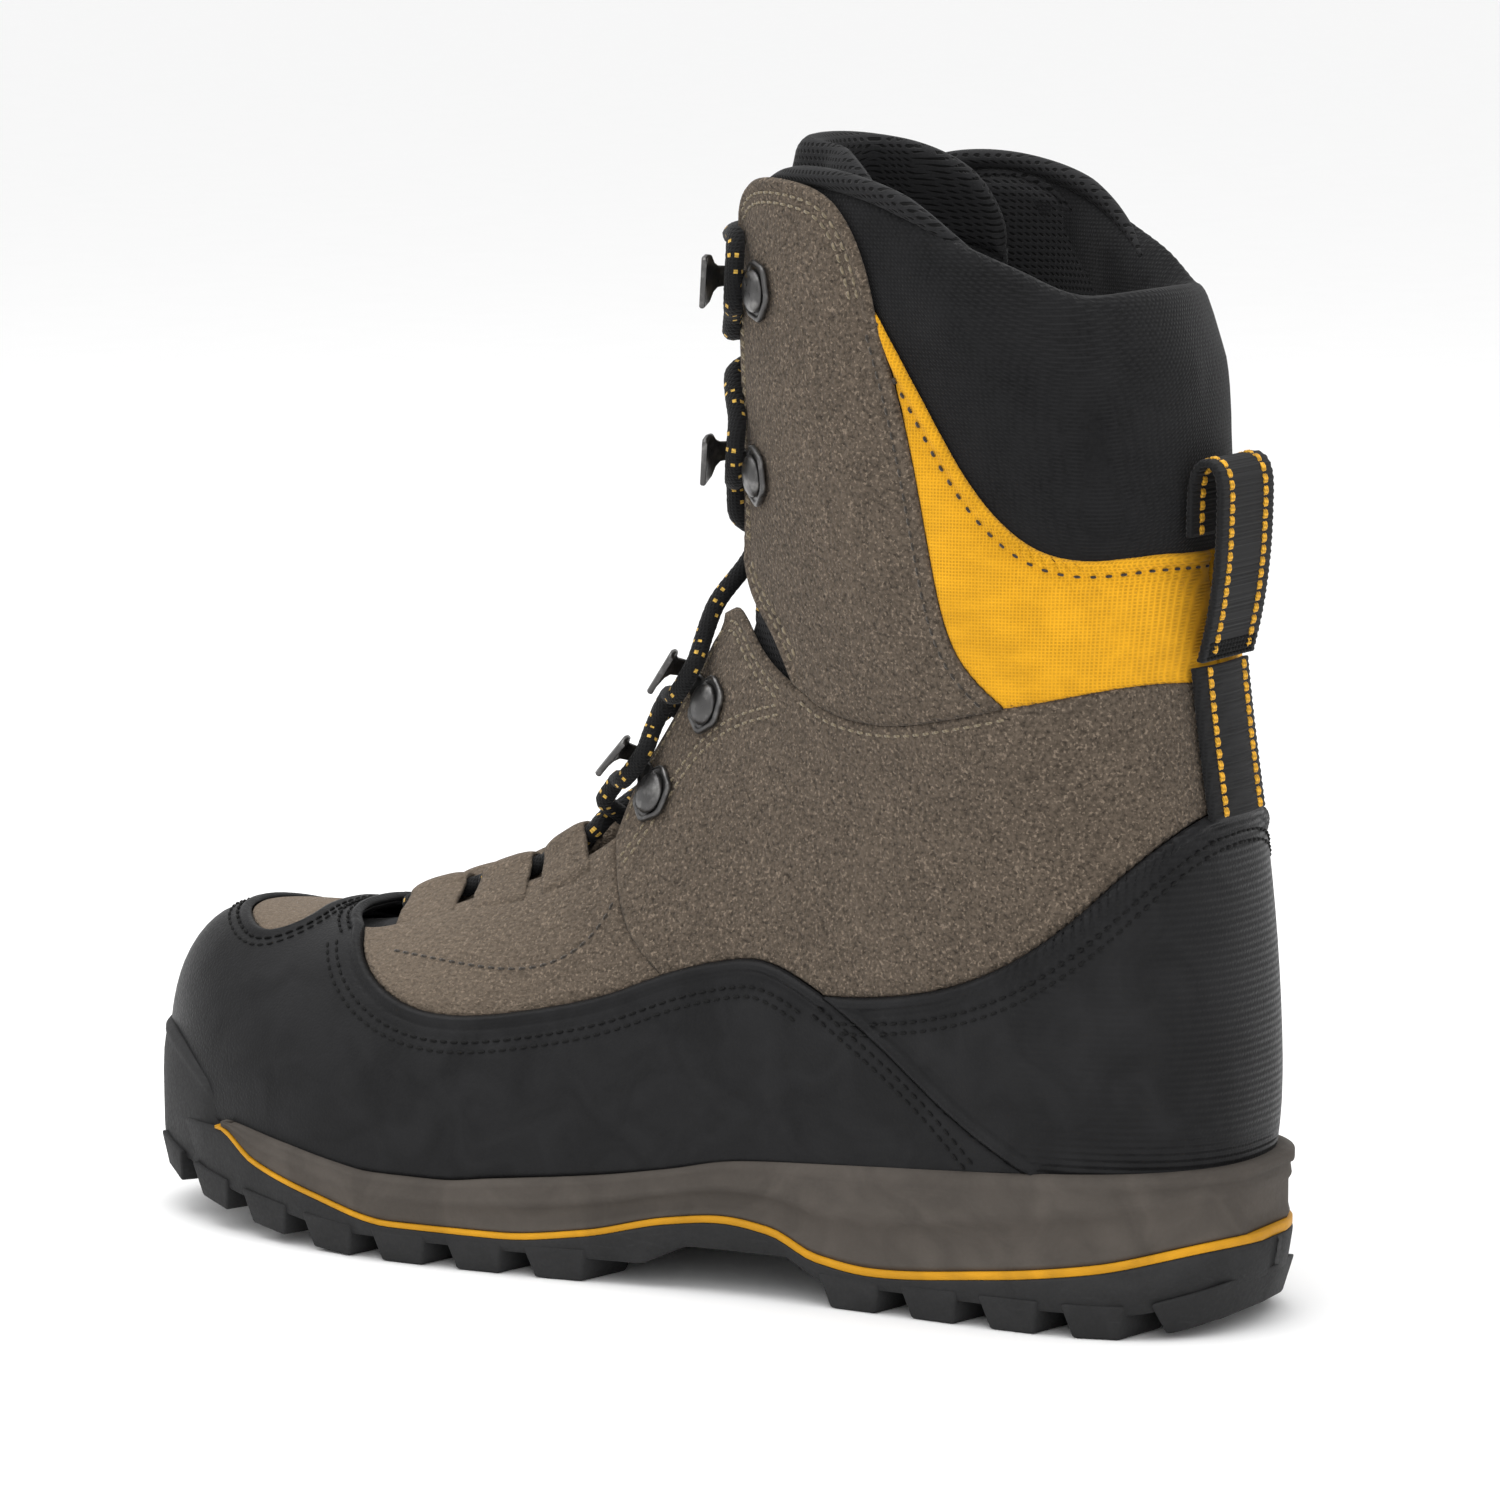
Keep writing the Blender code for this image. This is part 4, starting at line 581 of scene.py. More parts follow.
STITCHES = {}
STITCH_RINGS = (
    # Place along the stitch, width, and how far it dips
    (-1.0, 0.30, 1.0), (-0.72, 0.85, 0.35), (0.0, 1.0, 0.0), (0.72, 0.85, 0.35), (1.0, 0.30, 1.0),
)


def sew(kind, points, normals, pitch, length, radius):
    """Lay stitches of a kind of thread along a line of points with surface normals."""
    walked = lengths_along(points)
    count = int(walked[-1] / pitch)
    if count < 1:
        return
    spots = (np.arange(count) + 0.5) * walked[-1] / count
    ends = [np.stack([np.interp(spots + half, walked, points[:, i]) for i in range(3)], axis=1)
            for half in (-length / 2, length / 2)]
    up = np.stack([np.interp(spots, walked, normals[:, i]) for i in range(3)], axis=1)
    up /= np.linalg.norm(up, axis=1, keepdims=True)
    middle = (ends[0] + ends[1]) / 2
    ahead = ends[1] - ends[0]
    size = np.linalg.norm(ahead, axis=1, keepdims=True)
    ahead /= np.maximum(size, CLEAR)
    side = np.cross(up, ahead)
    store = STITCHES.setdefault(kind, [])
    for k in range(count):
        for place, width, dip in STITCH_RINGS:
            centre = middle[k] + ahead[k] * place * length / 2 - up[k] * dip * radius * 0.8
            for a in range(6):
                angle = a * math.pi / 3
                spoke = math.cos(angle) * up[k] + math.sin(angle) * side[k]
                store.append(centre + radius * width * spoke)


EVEN_STITCH = (2.7, 2.0)                # pitch and length
DOT_STITCH = (3.6, 1.5)
SEAMS = (
    # Stitches, edge on the last, distances to its left, height, places left out at each end, stitch
    ("black_rand", RAND_EDGE, (-6.4, -8.8), 1.05, (3, 2), EVEN_STITCH),
    ("black_rand", HEEL_EDGE, (-6.0, -8.4), 1.15, (4, 0), EVEN_STITCH),
    ("black_rand", RAND_OVERLAP, (-2.6, -5.0), 1.05, (0, 0), EVEN_STITCH),
    ("black_rand", THROAT_FRONT, (3.4, 5.6), 1.05, (0, 0), EVEN_STITCH),
    ("black_rand", TOE_WINDOW, (-3.4, -5.6), 1.05, (0, 0), EVEN_STITCH),
    ("khaki_suede", CUFF_TOP, (-3.2, -5.4), 0.72, (3, 3), EVEN_STITCH),
    ("khaki_suede", CUFF_FRONT, (-3.2, -5.4), 0.72, (4, 3), EVEN_STITCH),
    ("khaki_suede", FLEX_NOTCH_HIGH, (-3.2, -5.4), 0.72, (3, 3), EVEN_STITCH),
    ("khaki_suede", FLEX_NOTCH_LOW, (-3.2, -5.4), 0.08, (3, 3), EVEN_STITCH),
    ("khaki_suede", ARC_STITCH, (-1.1, 1.1), 0.16, (0, 0), EVEN_STITCH),
    ("khaki_suede", CUFF_SEAM, (-2.4,), 0.16, (3, 0), EVEN_STITCH),
    ("khaki_suede", INSTEP_EDGE, (-2.6,), 0.16, (3, 3), EVEN_STITCH),
    ("brown_suede", WAVE_STITCH, (0.0,), 0.10, (0, 0), EVEN_STITCH),
    ("brown_suede", YELLOW_FRONT, (-3.0,), 0.80, (3, 3), EVEN_STITCH),
    ("brown_suede", YELLOW_TOP, (-3.4,), 0.24, (2, 0), DOT_STITCH),
)


def sew_seams():
    for kind, edge, rows, height, (skip, cut), (pitch, length) in SEAMS:
        for _, sign in SIDES:
            for distance in rows:
                places = shifted(smooth_edge(sided(edge, sign), 1.2), sign * distance)
                places = places[skip:len(places) - cut]
                normals = on_last(*places.T, 1.0) - on_last(*places.T)
                sew(kind, on_last(*places.T, height), normals, pitch, length, 0.36)


def finish_stitches(kind, material, body="boot"):
    points = STITCHES[kind]
    faces = []
    for start in range(0, len(points), 30):
        for ring in range(4):
            for a in range(6):
                b = (a + 1) % 6
                low = start + 6 * ring
                faces.append((low + a, low + b, low + 6 + b, low + 6 + a))
        faces.append(tuple(start + a for a in range(6))[::-1])
        faces.append(tuple(start + 24 + a for a in range(6)))
    add_piece(f"stitches_{kind}", make_mesh(kind, points, faces), material, body)


# ---------------------------------------------------------------- materials

class Shader:
    """A procedural material: small helpers that add nodes and wire them up."""

    def __init__(self, name, roughness, metallic=0.0, sheen=0.0, specular=0.5):
        self.material = bpy.data.materials.new(name)
        self.material.use_nodes = True
        self.nodes = self.material.node_tree.nodes
        self.links = self.material.node_tree.links
        self.surface = self.nodes["Principled BSDF"]
        self.surface.inputs["Roughness"].default_value = roughness
        self.surface.inputs["Metallic"].default_value = metallic
        self.surface.inputs["Sheen Weight"].default_value = sheen
        self.surface.inputs["Sheen Roughness"].default_value = 0.5
        self.surface.inputs["Specular IOR Level"].default_value = specular
        self.place = self.nodes.new("ShaderNodeTexCoord").outputs["Object"]

    def stretched(self, scale, turn=(0, 0, 0)):
        mapping = self.nodes.new("ShaderNodeMapping")
        mapping.inputs["Scale"].default_value = scale
        mapping.inputs["Rotation"].default_value = turn
        self.links.new(self.place, mapping.inputs["Vector"])
        return mapping.outputs["Vector"]

    def noise(self, size_mm, detail=3.0, vector=None, distortion=0.0):
        """Noise whose blotches are about size_mm across."""
        noise = self.nodes.new("ShaderNodeTexNoise")
        noise.inputs["Scale"].default_value = 1000.0 / size_mm
        noise.inputs["Detail"].default_value = detail
        noise.inputs["Distortion"].default_value = distortion
        self.links.new(vector or self.place, noise.inputs["Vector"])
        return noise.outputs["Fac"]

    def wave(self, pitch_mm, direction="Z", distortion=0.0):
        """Parallel ribs with a pitch in millimetres."""
        wave = self.nodes.new("ShaderNodeTexWave")
        wave.bands_direction = direction
        wave.inputs["Scale"].default_value = 2 * math.pi / (20 * pitch_mm * MM)
        wave.inputs["Distortion"].default_value = distortion
        wave.inputs["Detail"].default_value = 0.0
        self.links.new(self.place, wave.inputs["Vector"])
        return wave.outputs["Fac"]

    def cells(self, size_mm):
        cells = self.nodes.new("ShaderNodeTexVoronoi")
        cells.inputs["Scale"].default_value = 1000.0 / size_mm
        self.links.new(self.place, cells.inputs["Vector"])
        return cells.outputs["Distance"]

    def between(self, value, low, high, to_low=0.0, to_high=1.0):
        """value mapped from low..high to to_low..to_high, clamped."""
        node = self.nodes.new("ShaderNodeMapRange")
        numbers = {"From Min": low, "From Max": high, "To Min": to_low, "To Max": to_high}
        for socket, number in numbers.items():
            node.inputs[socket].default_value = number
        self.links.new(value, node.inputs["Value"])
        return node.outputs["Result"]

    def combine(self, operation, a, b):
        node = self.nodes.new("ShaderNodeMath")
        node.operation = operation
        for socket, value in zip(node.inputs, (a, b)):
            if isinstance(value, (int, float)):
                socket.default_value = value
            else:
                self.links.new(value, socket)
        return node.outputs["Value"]

    def axis(self, name):
        split = self.nodes.new("ShaderNodeSeparateXYZ")
        self.links.new(self.place, split.inputs["Vector"])
        return split.outputs[name]

    def mix(self, share, a, b):
        """Colours a and b mixed; each is an (r, g, b) tuple or a socket."""
        node = self.nodes.new("ShaderNodeMix")
        node.data_type = "RGBA"
        for index, value in ((6, a), (7, b)):
            if isinstance(value, tuple):
                node.inputs[index].default_value = (*value, 1.0)
            else:
                self.links.new(value, node.inputs[index])
        self.links.new(share, node.inputs[0])
        return node.outputs[2]

    def finish(self, colour, height=None, depth_mm=0.2, roughness=None):
        self.links.new(colour, self.surface.inputs["Base Color"])
        if height is not None:
            bump = self.nodes.new("ShaderNodeBump")
            bump.inputs["Distance"].default_value = depth_mm * MM
            bump.inputs["Strength"].default_value = 1.0
            self.links.new(height, bump.inputs["Height"])
            self.links.new(bump.outputs["Normal"], self.surface.inputs["Normal"])
        if roughness is not None:
            self.links.new(roughness, self.surface.inputs["Roughness"])
        return self.material


def tone(colour, factor):
    return tuple(channel * factor for channel in colour)


SUEDE_TONE = (0.098, 0.077, 0.058)
RAND_TONE = (0.0098, 0.0098, 0.0103)
YELLOW_TONE = (0.70, 0.34, 0.012)
TAUPE_TONE = (0.070, 0.0605, 0.052)
BLACK_TONE = (0.0072, 0.0072, 0.0076)


def suede_material():
    """Brushed suede: mottled nap in two sizes, fine fibres, lighter rubbed patches, painted glints of
    light on the nap, and painted light that brightens the toe end.
    """
    s = Shader("suede", 0.95, sheen=0.05, specular=0.10)
    mottle = s.between(s.noise(9.0, 3.0, distortion=0.6), 0.36, 0.66)
    speckle = s.between(s.noise(0.8, 5.0, distortion=0.3), 0.38, 0.62)
    # painted highlight: tiny bright specks painted into the colour as glints of light on the nap
    painted_glints = s.between(s.noise(0.75, 3.0), 0.56, 0.68, 0.0, 0.55)
    fibre = s.between(s.noise(0.9, 3.0, s.stretched((1.0, 0.6, 1.0), (0.4, 0.2, 0.5))), 0.34, 0.66)
    broad = s.mix(mottle, tone(SUEDE_TONE, 0.86), tone(SUEDE_TONE, 1.12))
    dark = s.mix(speckle, broad, tone(SUEDE_TONE, 0.38))
    brushed = s.mix(s.combine("MULTIPLY", fibre, 0.45), dark, tone(SUEDE_TONE, 1.7))
    # the painted glint highlights are mixed into the suede colour here
    nap_with_painted_glints = s.mix(painted_glints, brushed, tone(SUEDE_TONE, 3.2))
    worn = s.between(s.noise(28.0, 4.0, distortion=1.5), 0.56, 0.74)
    rubbed = s.mix(s.combine("MULTIPLY", worn, 0.15), nap_with_painted_glints, tone(SUEDE_TONE, 1.55))
    # painted light: the suede is painted lighter towards the toe end, standing in for light falling on
    # the front
    painted_light_toe = s.between(s.axis("Y"), 0.00, -0.10, 0.0, 0.60)
    colour = s.mix(painted_light_toe, rubbed, tone(SUEDE_TONE, 2.1))
    height = s.combine("ADD", s.combine("MULTIPLY", speckle, -0.45), fibre)
    return s.finish(colour, height, 0.36)


def rand_material(name, ribbed=False):
    """Satin rubberised leather with a fine grain; the heel's has moulded ribs towards the back."""
    s = Shader(name, 0.52, specular=0.10)
    grain = s.between(s.cells(0.7), 0.1, 0.7)
    haze = s.between(s.noise(14.0, 4.0, distortion=1.0), 0.35, 0.7)
    fine = s.noise(0.8, 3.0)
    dusty = s.mix(haze, tone(RAND_TONE, 0.85), tone(RAND_TONE, 1.5))
    colour = s.mix(s.combine("MULTIPLY", fine, 0.35), dusty, tone(RAND_TONE, 2.0))
    height = s.combine("ADD", s.combine("MULTIPLY", grain, 0.5), s.combine("MULTIPLY", fine, 0.5))
    if ribbed:
        rear = s.between(s.axis("Y"), 0.098, 0.112)
        ribs = s.combine("MULTIPLY", s.wave(1.6), s.combine("MULTIPLY", rear, 2.2))
        height = s.combine("ADD", height, ribs)
    return s.finish(colour, height, 0.09, s.between(fine, 0.3, 0.7, 0.36, 0.50))


def woven_material(name, colour, pitch, roughness=0.85, sheen=0.2, contrast=0.35):
    """Plain weave: threads crossing at right angles, each a little different from the next."""
    s = Shader(name, roughness, sheen=sheen, specular=0.18)
    warp = s.wave(pitch, "Z")
    weft = s.wave(pitch, "Y")
    threads = s.combine("MAXIMUM", warp, weft)
    slub = s.noise(3.5, 3.0, s.stretched((1.0, 0.3, 1.0)))
    shade = s.between(s.noise(16.0, 3.0), 0.35, 0.7)
    base = s.mix(shade, tone(colour, 0.90), tone(colour, 1.08))
    gaps = s.mix(threads, tone(colour, 1 - contrast), base)
    final = s.mix(s.between(slub, 0.4, 0.75, 0.0, 0.4), gaps, tone(colour, 1.25))
    return s.finish(final, threads, 0.16)


def softshell_material():
    """Brushed stretch knit: faint upright ribs under a short fuzz."""
    s = Shader("softshell", 0.97, sheen=0.08, specular=0.1)
    knit = s.combine("MULTIPLY", s.wave(0.9, "Z"), s.wave(0.45, "DIAGONAL"))
    fuzz = s.between(s.noise(0.9, 4.0), 0.35, 0.65)
    cloudy = s.between(s.noise(10.0, 3.0), 0.35, 0.68)
    base = s.mix(cloudy, tone(BLACK_TONE, 0.8), tone(BLACK_TONE, 1.4))
    knitted = s.mix(s.combine("MULTIPLY", knit, 0.6), base, tone(BLACK_TONE, 2.6))
    colour = s.mix(s.combine("MULTIPLY", fuzz, 0.5), knitted, tone(BLACK_TONE, 2.0))
    return s.finish(colour, s.combine("ADD", knit, s.combine("MULTIPLY", fuzz, 0.5)), 0.13)


def mesh_material():
    """Spacer mesh: rows of small round holes between raised threads."""
    s = Shader("mesh", 0.92, sheen=0.06, specular=0.15)
    holes = s.combine("MULTIPLY", s.wave(1.5, "Z"), s.wave(0.75, "DIAGONAL"))
    raised = s.between(holes, 0.62, 0.25)
    yarn = s.noise(0.5, 2.0)
    threads = s.mix(yarn, tone(BLACK_TONE, 1.1), tone(BLACK_TONE, 3.2))
    colour = s.mix(raised, tone(BLACK_TONE, 0.2), threads)
    return s.finish(colour, raised, 0.40)


def rubber_material(name, colour, roughness, depth=0.12, scuffed=0.5):
    """Moulded rubber: faint mould texture, handling marks and lighter scuffs."""
    s = Shader(name, roughness, specular=0.22)
    grit = s.noise(0.9, 4.0)
    patches = s.between(s.noise(18.0, 5.0, distortion=1.2), 0.38, 0.7)
    base = s.mix(patches, tone(colour, 0.86), tone(colour, 1.22))
    streaks = s.noise(5.0, 6.0, s.stretched((1.0, 0.25, 2.0)), distortion=2.0)
    scuffs = s.between(streaks, 0.60, 0.74, 0.0, scuffed)
    final = s.mix(scuffs, base, tone(colour, 1.55))
    return s.finish(final, grit, depth, s.between(grit, 0.3, 0.7, roughness - 0.07, roughness + 0.07))


def metal_material():
    """Dark gunmetal with a fine brushed finish and paler rubbed spots."""
    s = Shader("gunmetal", 0.34, metallic=0.92)
    brushed = s.noise(0.5, 3.0, s.stretched((1.0, 1.0, 0.2)))
    spots = s.between(s.noise(3.0, 4.0), 0.5, 0.72)
    colour = s.mix(spots, (0.085, 0.083, 0.082), (0.20, 0.195, 0.19))
    return s.finish(colour, brushed, 0.03, s.between(brushed, 0.3, 0.7, 0.26, 0.46))


def thread_material(name, colour, roughness=0.65, sheen=0.2):
    """Twisted thread: fine slanting plies."""
    s = Shader(name, roughness, sheen=sheen, specular=0.25)
    plies = s.wave(0.5, "DIAGONAL", distortion=0.5)
    final = s.mix(plies, tone(colour, 0.62), tone(colour, 1.15))
    return s.finish(final, plies, 0.08)


def foam_material(name, colour):
    """Open-celled foam or pressed board with a fine pitted face."""
    s = Shader(name, 0.92, specular=0.25)
    pits = s.between(s.cells(0.8), 0.05, 0.5)
    clouds = s.between(s.noise(7.0, 3.0), 0.35, 0.7)
    return s.finish(s.mix(clouds, tone(colour, 0.82), tone(colour, 1.12)), pits, 0.12)


def make_materials():
    return {
        "suede": suede_material(),
        "rand": rand_material("rand"),
        "heel_rand": rand_material("rand_ribbed", ribbed=True),
        "yellow": woven_material("yellow", YELLOW_TONE, 0.75, 0.9, 0.04),
        "webbing": woven_material("webbing", tone(BLACK_TONE, 1.4), 0.9, 0.85, 0.06, 0.5),
        "lace": woven_material("lace", tone(BLACK_TONE, 1.2), 0.8, 0.85, 0.06, 0.5),
        "lace_fleck": thread_material("lace_fleck", (0.62, 0.38, 0.06)),
        "softshell": softshell_material(),
        "mesh": mesh_material(),
        "rubber": rubber_material("rubber", (0.020, 0.020, 0.0205), 0.72),
        "midsole": rubber_material("midsole", TAUPE_TONE, 0.82, 0.06, 0.1),
        "accent": rubber_material("accent", (0.50, 0.235, 0.006), 0.55, 0.06, 0.1),
        "gunmetal": metal_material(),
        "khaki_thread": thread_material("khaki_thread", (0.21, 0.17, 0.11)),
        "black_thread": thread_material("black_thread", (0.004, 0.004, 0.004), 0.8, 0.0),
        "brown_thread": thread_material("brown_thread", (0.040, 0.032, 0.024)),
        "yellow_thread": thread_material("yellow_thread", (0.72, 0.37, 0.02)),
        "foam": foam_material("foam", (0.10, 0.10, 0.105)),
        "board": foam_material("board", (0.30, 0.24, 0.16)),
        "stiffener": foam_material("stiffener", (0.045, 0.045, 0.05)),
    }


# ---------------------------------------------------------------- sole

def plan_halves(plan):
    """Functions giving the medial and the lateral x of a plan outline at any y, and its y range."""
    loop = np.array(plan + plan[:1], float)
    knots = lengths_along(loop)
    extended = np.concatenate([knots[-4:-1] - knots[-1], knots, knots[1:4] + knots[-1]])
    values = np.concatenate([loop[-4:-1], loop, loop[1:4]])
    fine = natural_spline(extended, values)(np.linspace(0, knots[-1], 721))
    toe = int(np.argmin(fine[:, 1]))
    fine = np.roll(fine[:-1], -toe, axis=0)
    heel = int(np.argmax(fine[:, 1]))
    medial = fine[:heel + 1]
    lateral = np.concatenate([fine[heel:], fine[:1]])[::-1]
    return (
        lambda y: np.interp(y, medial[:, 1], medial[:, 0]),
        lambda y: np.interp(y, lateral[:, 1], lateral[:, 0]),
        (fine[0, 1], fine[heel, 1]),
    )


MEDIAL_EDGE, LATERAL_EDGE, (SOLE_TOE, SOLE_HEEL) = plan_halves(SOLE_PLAN)


def plan_ring(front, back, step=2.5):
    """Points round the sole's plan between two places: up the medial side and back down the lateral."""
    fine = np.linspace(front, back, 1500)
    medial = np.stack([MEDIAL_EDGE(fine), fine], axis=1)
    walked = lengths_along(medial)
    ys = np.interp(np.linspace(0, walked[-1], int(walked[-1] / step)), walked, fine)
    ring = np.concatenate([
        np.stack([MEDIAL_EDGE(ys), ys], axis=1), np.stack([LATERAL_EDGE(ys), ys], axis=1)[::-1],
    ])
    ahead = np.roll(ring, -1, axis=0) - np.roll(ring, 1, axis=0)
    inward = np.stack([-ahead[:, 1], ahead[:, 0]], axis=1)
    inward /= np.maximum(np.linalg.norm(inward, axis=1, keepdims=True), CLEAR)
    return ring, inward


def plan_solid(name, rows):
    """A closed mesh from rows of points round the plan; strips across close its bottom and top."""
    count = len(rows[0])
    faces = grid_faces(len(rows), count, closed=True)
    for start in (0, (len(rows) - 1) * count):
        for i in range(count // 2 - 1):
            faces.append((start + i, start + i + 1, start + count - 2 - i, start + count - 1 - i))
    mesh = make_mesh(name, np.concatenate(rows), faces)
    turn_outwards(mesh)
    return mesh


def sole_layer(name, front, back, low, high, profile, material, replaces):
    """A layer of the sole; its profile lists (share of the height, inset), numbers or functions."""
    ring, inward = plan_ring(front, back)
    bottom, top = low(ring[:, 1]), high(ring[:, 1])
    rows = []
    for share, inset in profile:
        drawn = inset(ring) if callable(inset) else inset
        rise = share(ring) if callable(share) else share
        plan = ring + inward * np.reshape(drawn, (-1, 1))
        rows.append(np.column_stack([plan, bottom + (top - bottom) * rise]))
    add_piece(name, plan_solid(name, rows), material, replaces=replaces)


def bevel(thing, width, angle):
    step = thing.modifiers.new("bevel", "BEVEL")
    step.width = width * MM
    step.segments = 2
    step.limit_method = "ANGLE"
    step.angle_limit = math.radians(angle)
    step.harden_normals = False


def accent_height(y):
    """How tall the yellow line is: thin at the toe and thicker at the heel."""
    return np.interp(y, (-117, -40, 140), (0.9, 1.4, 2.1))


def outsole_underside(y):
    """The outsole's flat underside between the lugs."""
    y = np.atleast_1d(y)
    rise = np.interp(y, (2, 12, 38, 47), (0, 1, 1, 0))
    return (ground(y) + LUG_DEPTH) * (1 - rise) + ARCH_HEIGHT * rise


def lug_outlines():
    """Plan outlines of the tread blocks: rows along both edges and a row down the middle."""
    edge_rows = (
        (-143, -132), (-126, -113), (-107, -93), (-87, -73), (-67, -53), (-47, -33), (-27, -12),
        (47, 62), (68, 82), (88, 102), (108, 121),
    )
    lugs = []
    for front, back in edge_rows:
        depth = 17 if back > -130 else 12
        slant = 4
        for side, edge in ((1, MEDIAL_EDGE), (-1, LATERAL_EDGE)):
            outer_front, outer_back = edge(front) - side * 0.6, edge(back) - side * 0.6
            lugs.append((
                (outer_front, front), (outer_back, back),
                (outer_back - side * depth, back + slant), (outer_front - side * depth, front + slant),
            ))
    for front, back in ((-118, -104), (-98, -84), (-78, -64), (-58, -44), (-38, -24), (58, 72), (80, 94)):
        half = 11 if back < 0 else 8
        shift = -1.5
        lugs.append((
            (shift + half, front + 3), (shift + half, back + 3), (shift, back - 2),
            (shift - half, back + 3), (shift - half, front + 3), (shift, front - 2),
        ))
    heel_arc = [(0.5 * (MEDIAL_EDGE(y) - LATERAL_EDGE(y)) - 0.7, y) for y in (127, 133, 138.5)]
    centre = 0.5 * (MEDIAL_EDGE(127) + LATERAL_EDGE(127))
    ring = [(centre + half, y) for half, y in heel_arc] + [(centre, 142.6)]
    ring += [(centre - half, y) for half, y in reversed(heel_arc)]
    lugs.append(tuple(ring) + ((centre - 13, 128), (centre + 13, 128)))
    return lugs


def make_lugs(mats):
    """Tread blocks: narrower at the ground, with rounded edges."""
    points = []
    faces = []
    for corners in lug_outlines():
        corners = np.array(corners, float)
        centre = corners.mean(axis=0)
        start = len(points)
        for share, scale in ((0.0, 0.76), (0.09, 0.80), (1.0, 1.06)):
            plan = centre + (corners - centre) * (0.4 + 0.6 * scale, scale)
            low, high = ground(plan[:, 1]), outsole_underside(plan[:, 1]) + 2.5
            points += list(np.column_stack([plan, low + (high - low) * share]))
        count = len(corners)
        faces += [tuple(start + k for k in face) for face in [
            *grid_faces(3, count, closed=True), tuple(range(count)), tuple(range(2 * count, 3 * count)),
        ]]
    mesh = make_mesh("outsole_lugs", points, faces)
    turn_outwards(mesh)
    lugs = add_piece("outsole_lugs", mesh, mats["rubber"], replaces=["outsole"])
    bevel(lugs, 0.7, 28)


def make_bumper(mats):
    """The rubber wall round the toe: it leans in to a rolled top edge and sinks away at its ends."""
    top_line = along(((-153, 45.5), (-146, 45), (-138, 43), (-124, 36), (-113, 27)))
    ys = SOLE_TOE + (BUMPER_END - SOLE_TOE) * (1 - np.cos(np.linspace(0, math.pi / 2, 40)))
    outer = np.array([(MEDIAL_EDGE(y), y) for y in ys[::-1]] + [(LATERAL_EDGE(y), y) for y in ys[1:]])
    ahead = directions(outer)
    inward = np.column_stack([ahead[:, 1], -ahead[:, 0]])
    inward *= np.sign(np.sum(inward * (outer.mean(axis=0) - outer)))
    walked = lengths_along(outer)
    from_end = np.minimum(walked, walked[-1] - walked)
    sunk = 3.2 * np.clip(1 - from_end / 11.0, 0, 1) ** 2
    foot = ((2.6, 14.5), (1.7, 17.0), (1.5, 21.0))              # inset and height
    wall = (                                                    # inset and drop from the top line
        (1.4, 12.0), (1.6, 7.0), (2.0, 4.0), (2.2, 2.9), (2.0, 2.2), (2.1, 1.0), (2.8, 0.1),
        (3.9, -0.2), (5.2, 0.3), (6.8, 2.0),
    )
    levels = [(inset, np.full(len(outer), height)) for inset, height in foot]
    for inset, drop in wall:
        lowest = 15.5 + (14.0 - drop) * 0.05                    # keeps the rows apart at the ends
        levels.append((inset, np.maximum(top_line(outer[:, 1]) - drop, lowest)))
    levels.append((7.5, np.full(len(outer), 15.0)))
    rows = [
        np.column_stack([outer + inward * (inset + sunk)[:, None], height]) for inset, height in levels
    ]
    mesh = make_mesh("toe_bumper", *stacked(np.stack(rows, axis=1)))
    turn_outwards(mesh)
    add_piece("toe_bumper", mesh, mats["rubber"], replaces=["outsole"])


def drawn_in(inset):
    """An inset that grows round the toe, where the bumper stands proud of the plate."""
    return lambda ring: inset + 1.9 * np.clip((-122 - ring[:, 1]) / 14, 0, 1)


def midsole_foot(y):
    """The midsole stands on the yellow line."""
    return accent_top(y) + accent_height(y)


def make_sole(mats):
    plate = [(share, drawn_in(inset)) for share, inset in (
        (0.0, 2.2), (0.06, 1.4), (0.5, 0.7), (0.9, 0.15), (1.0, 0.35),
    )]
    sole_layer("outsole_plate", SOLE_TOE, SOLE_HEEL, outsole_underside, accent_top, plate,
               mats["rubber"], ["outsole"])
    make_lugs(mats)
    make_bumper(mats)
    line = ((0.0, 0.6), (0.15, 0.25), (0.85, 0.25), (1.0, 0.6))
    sole_layer("accent_line", -117.0, 143.0, accent_top, midsole_foot, line,
               mats["accent"], ["accent_band"])

    def recess(ring):
        """The side is cut back under the crest from the arch to the heel."""
        return 0.9 + 1.3 * np.interp(ring[:, 1], (-55, -20, 110, 135), (0, 1, 1, 0.3))

    def flare(ring):
        """The lip under the upper juts out round the back of the heel."""
        return 0.9 - 1.0 * np.interp(ring[:, 1], (95, 125), (0, 1))

    def crest(shift):
        """Height share of the crest that runs along the side, shifted up or down."""
        return lambda ring: np.interp(ring[:, 1], (-60, 20, 60, 143), (0.52, 0.50, 0.46, 0.62)) + shift

    side = (
        (0.0, 1.3), (0.06, 0.9), (0.16, recess), (crest(-0.07), recess), (crest(0), 0.55),
        (crest(0.10), 0.75), (0.80, 1.0), (0.84, flare), (0.95, flare), (1.0, 2.2), (1.0, 4.0),
    )
    sole_layer("midsole_body", -115.5, 141.9, midsole_foot, lambda y: midsole_top(y) + 0.2, side,
               mats["midsole"], ["midsole"])


def make_footbed(mats):
    """The contoured insole: it lifts out about its toe end."""
    ring, inward = plan_ring(-133.0, 132.0, 3.0)
    rows = []
    for rise, inset in ((5.2, 9.4), (6.0, 8.9), (8.8, 8.9), (9.6, 9.6), (9.5, 12.0)):
        plan = ring + inward * inset
        plan[:, 1] = np.clip(plan[:, 1], -131.5, 131.0)
        rows.append(np.column_stack([plan, midsole_top(ring[:, 1]) + rise]))
    mesh = plan_solid("insole_pad", rows)
    add_piece("insole_pad", mesh, mats["softshell"], "footbed", ["footbed"])


# ---------------------------------------------------------------- upper

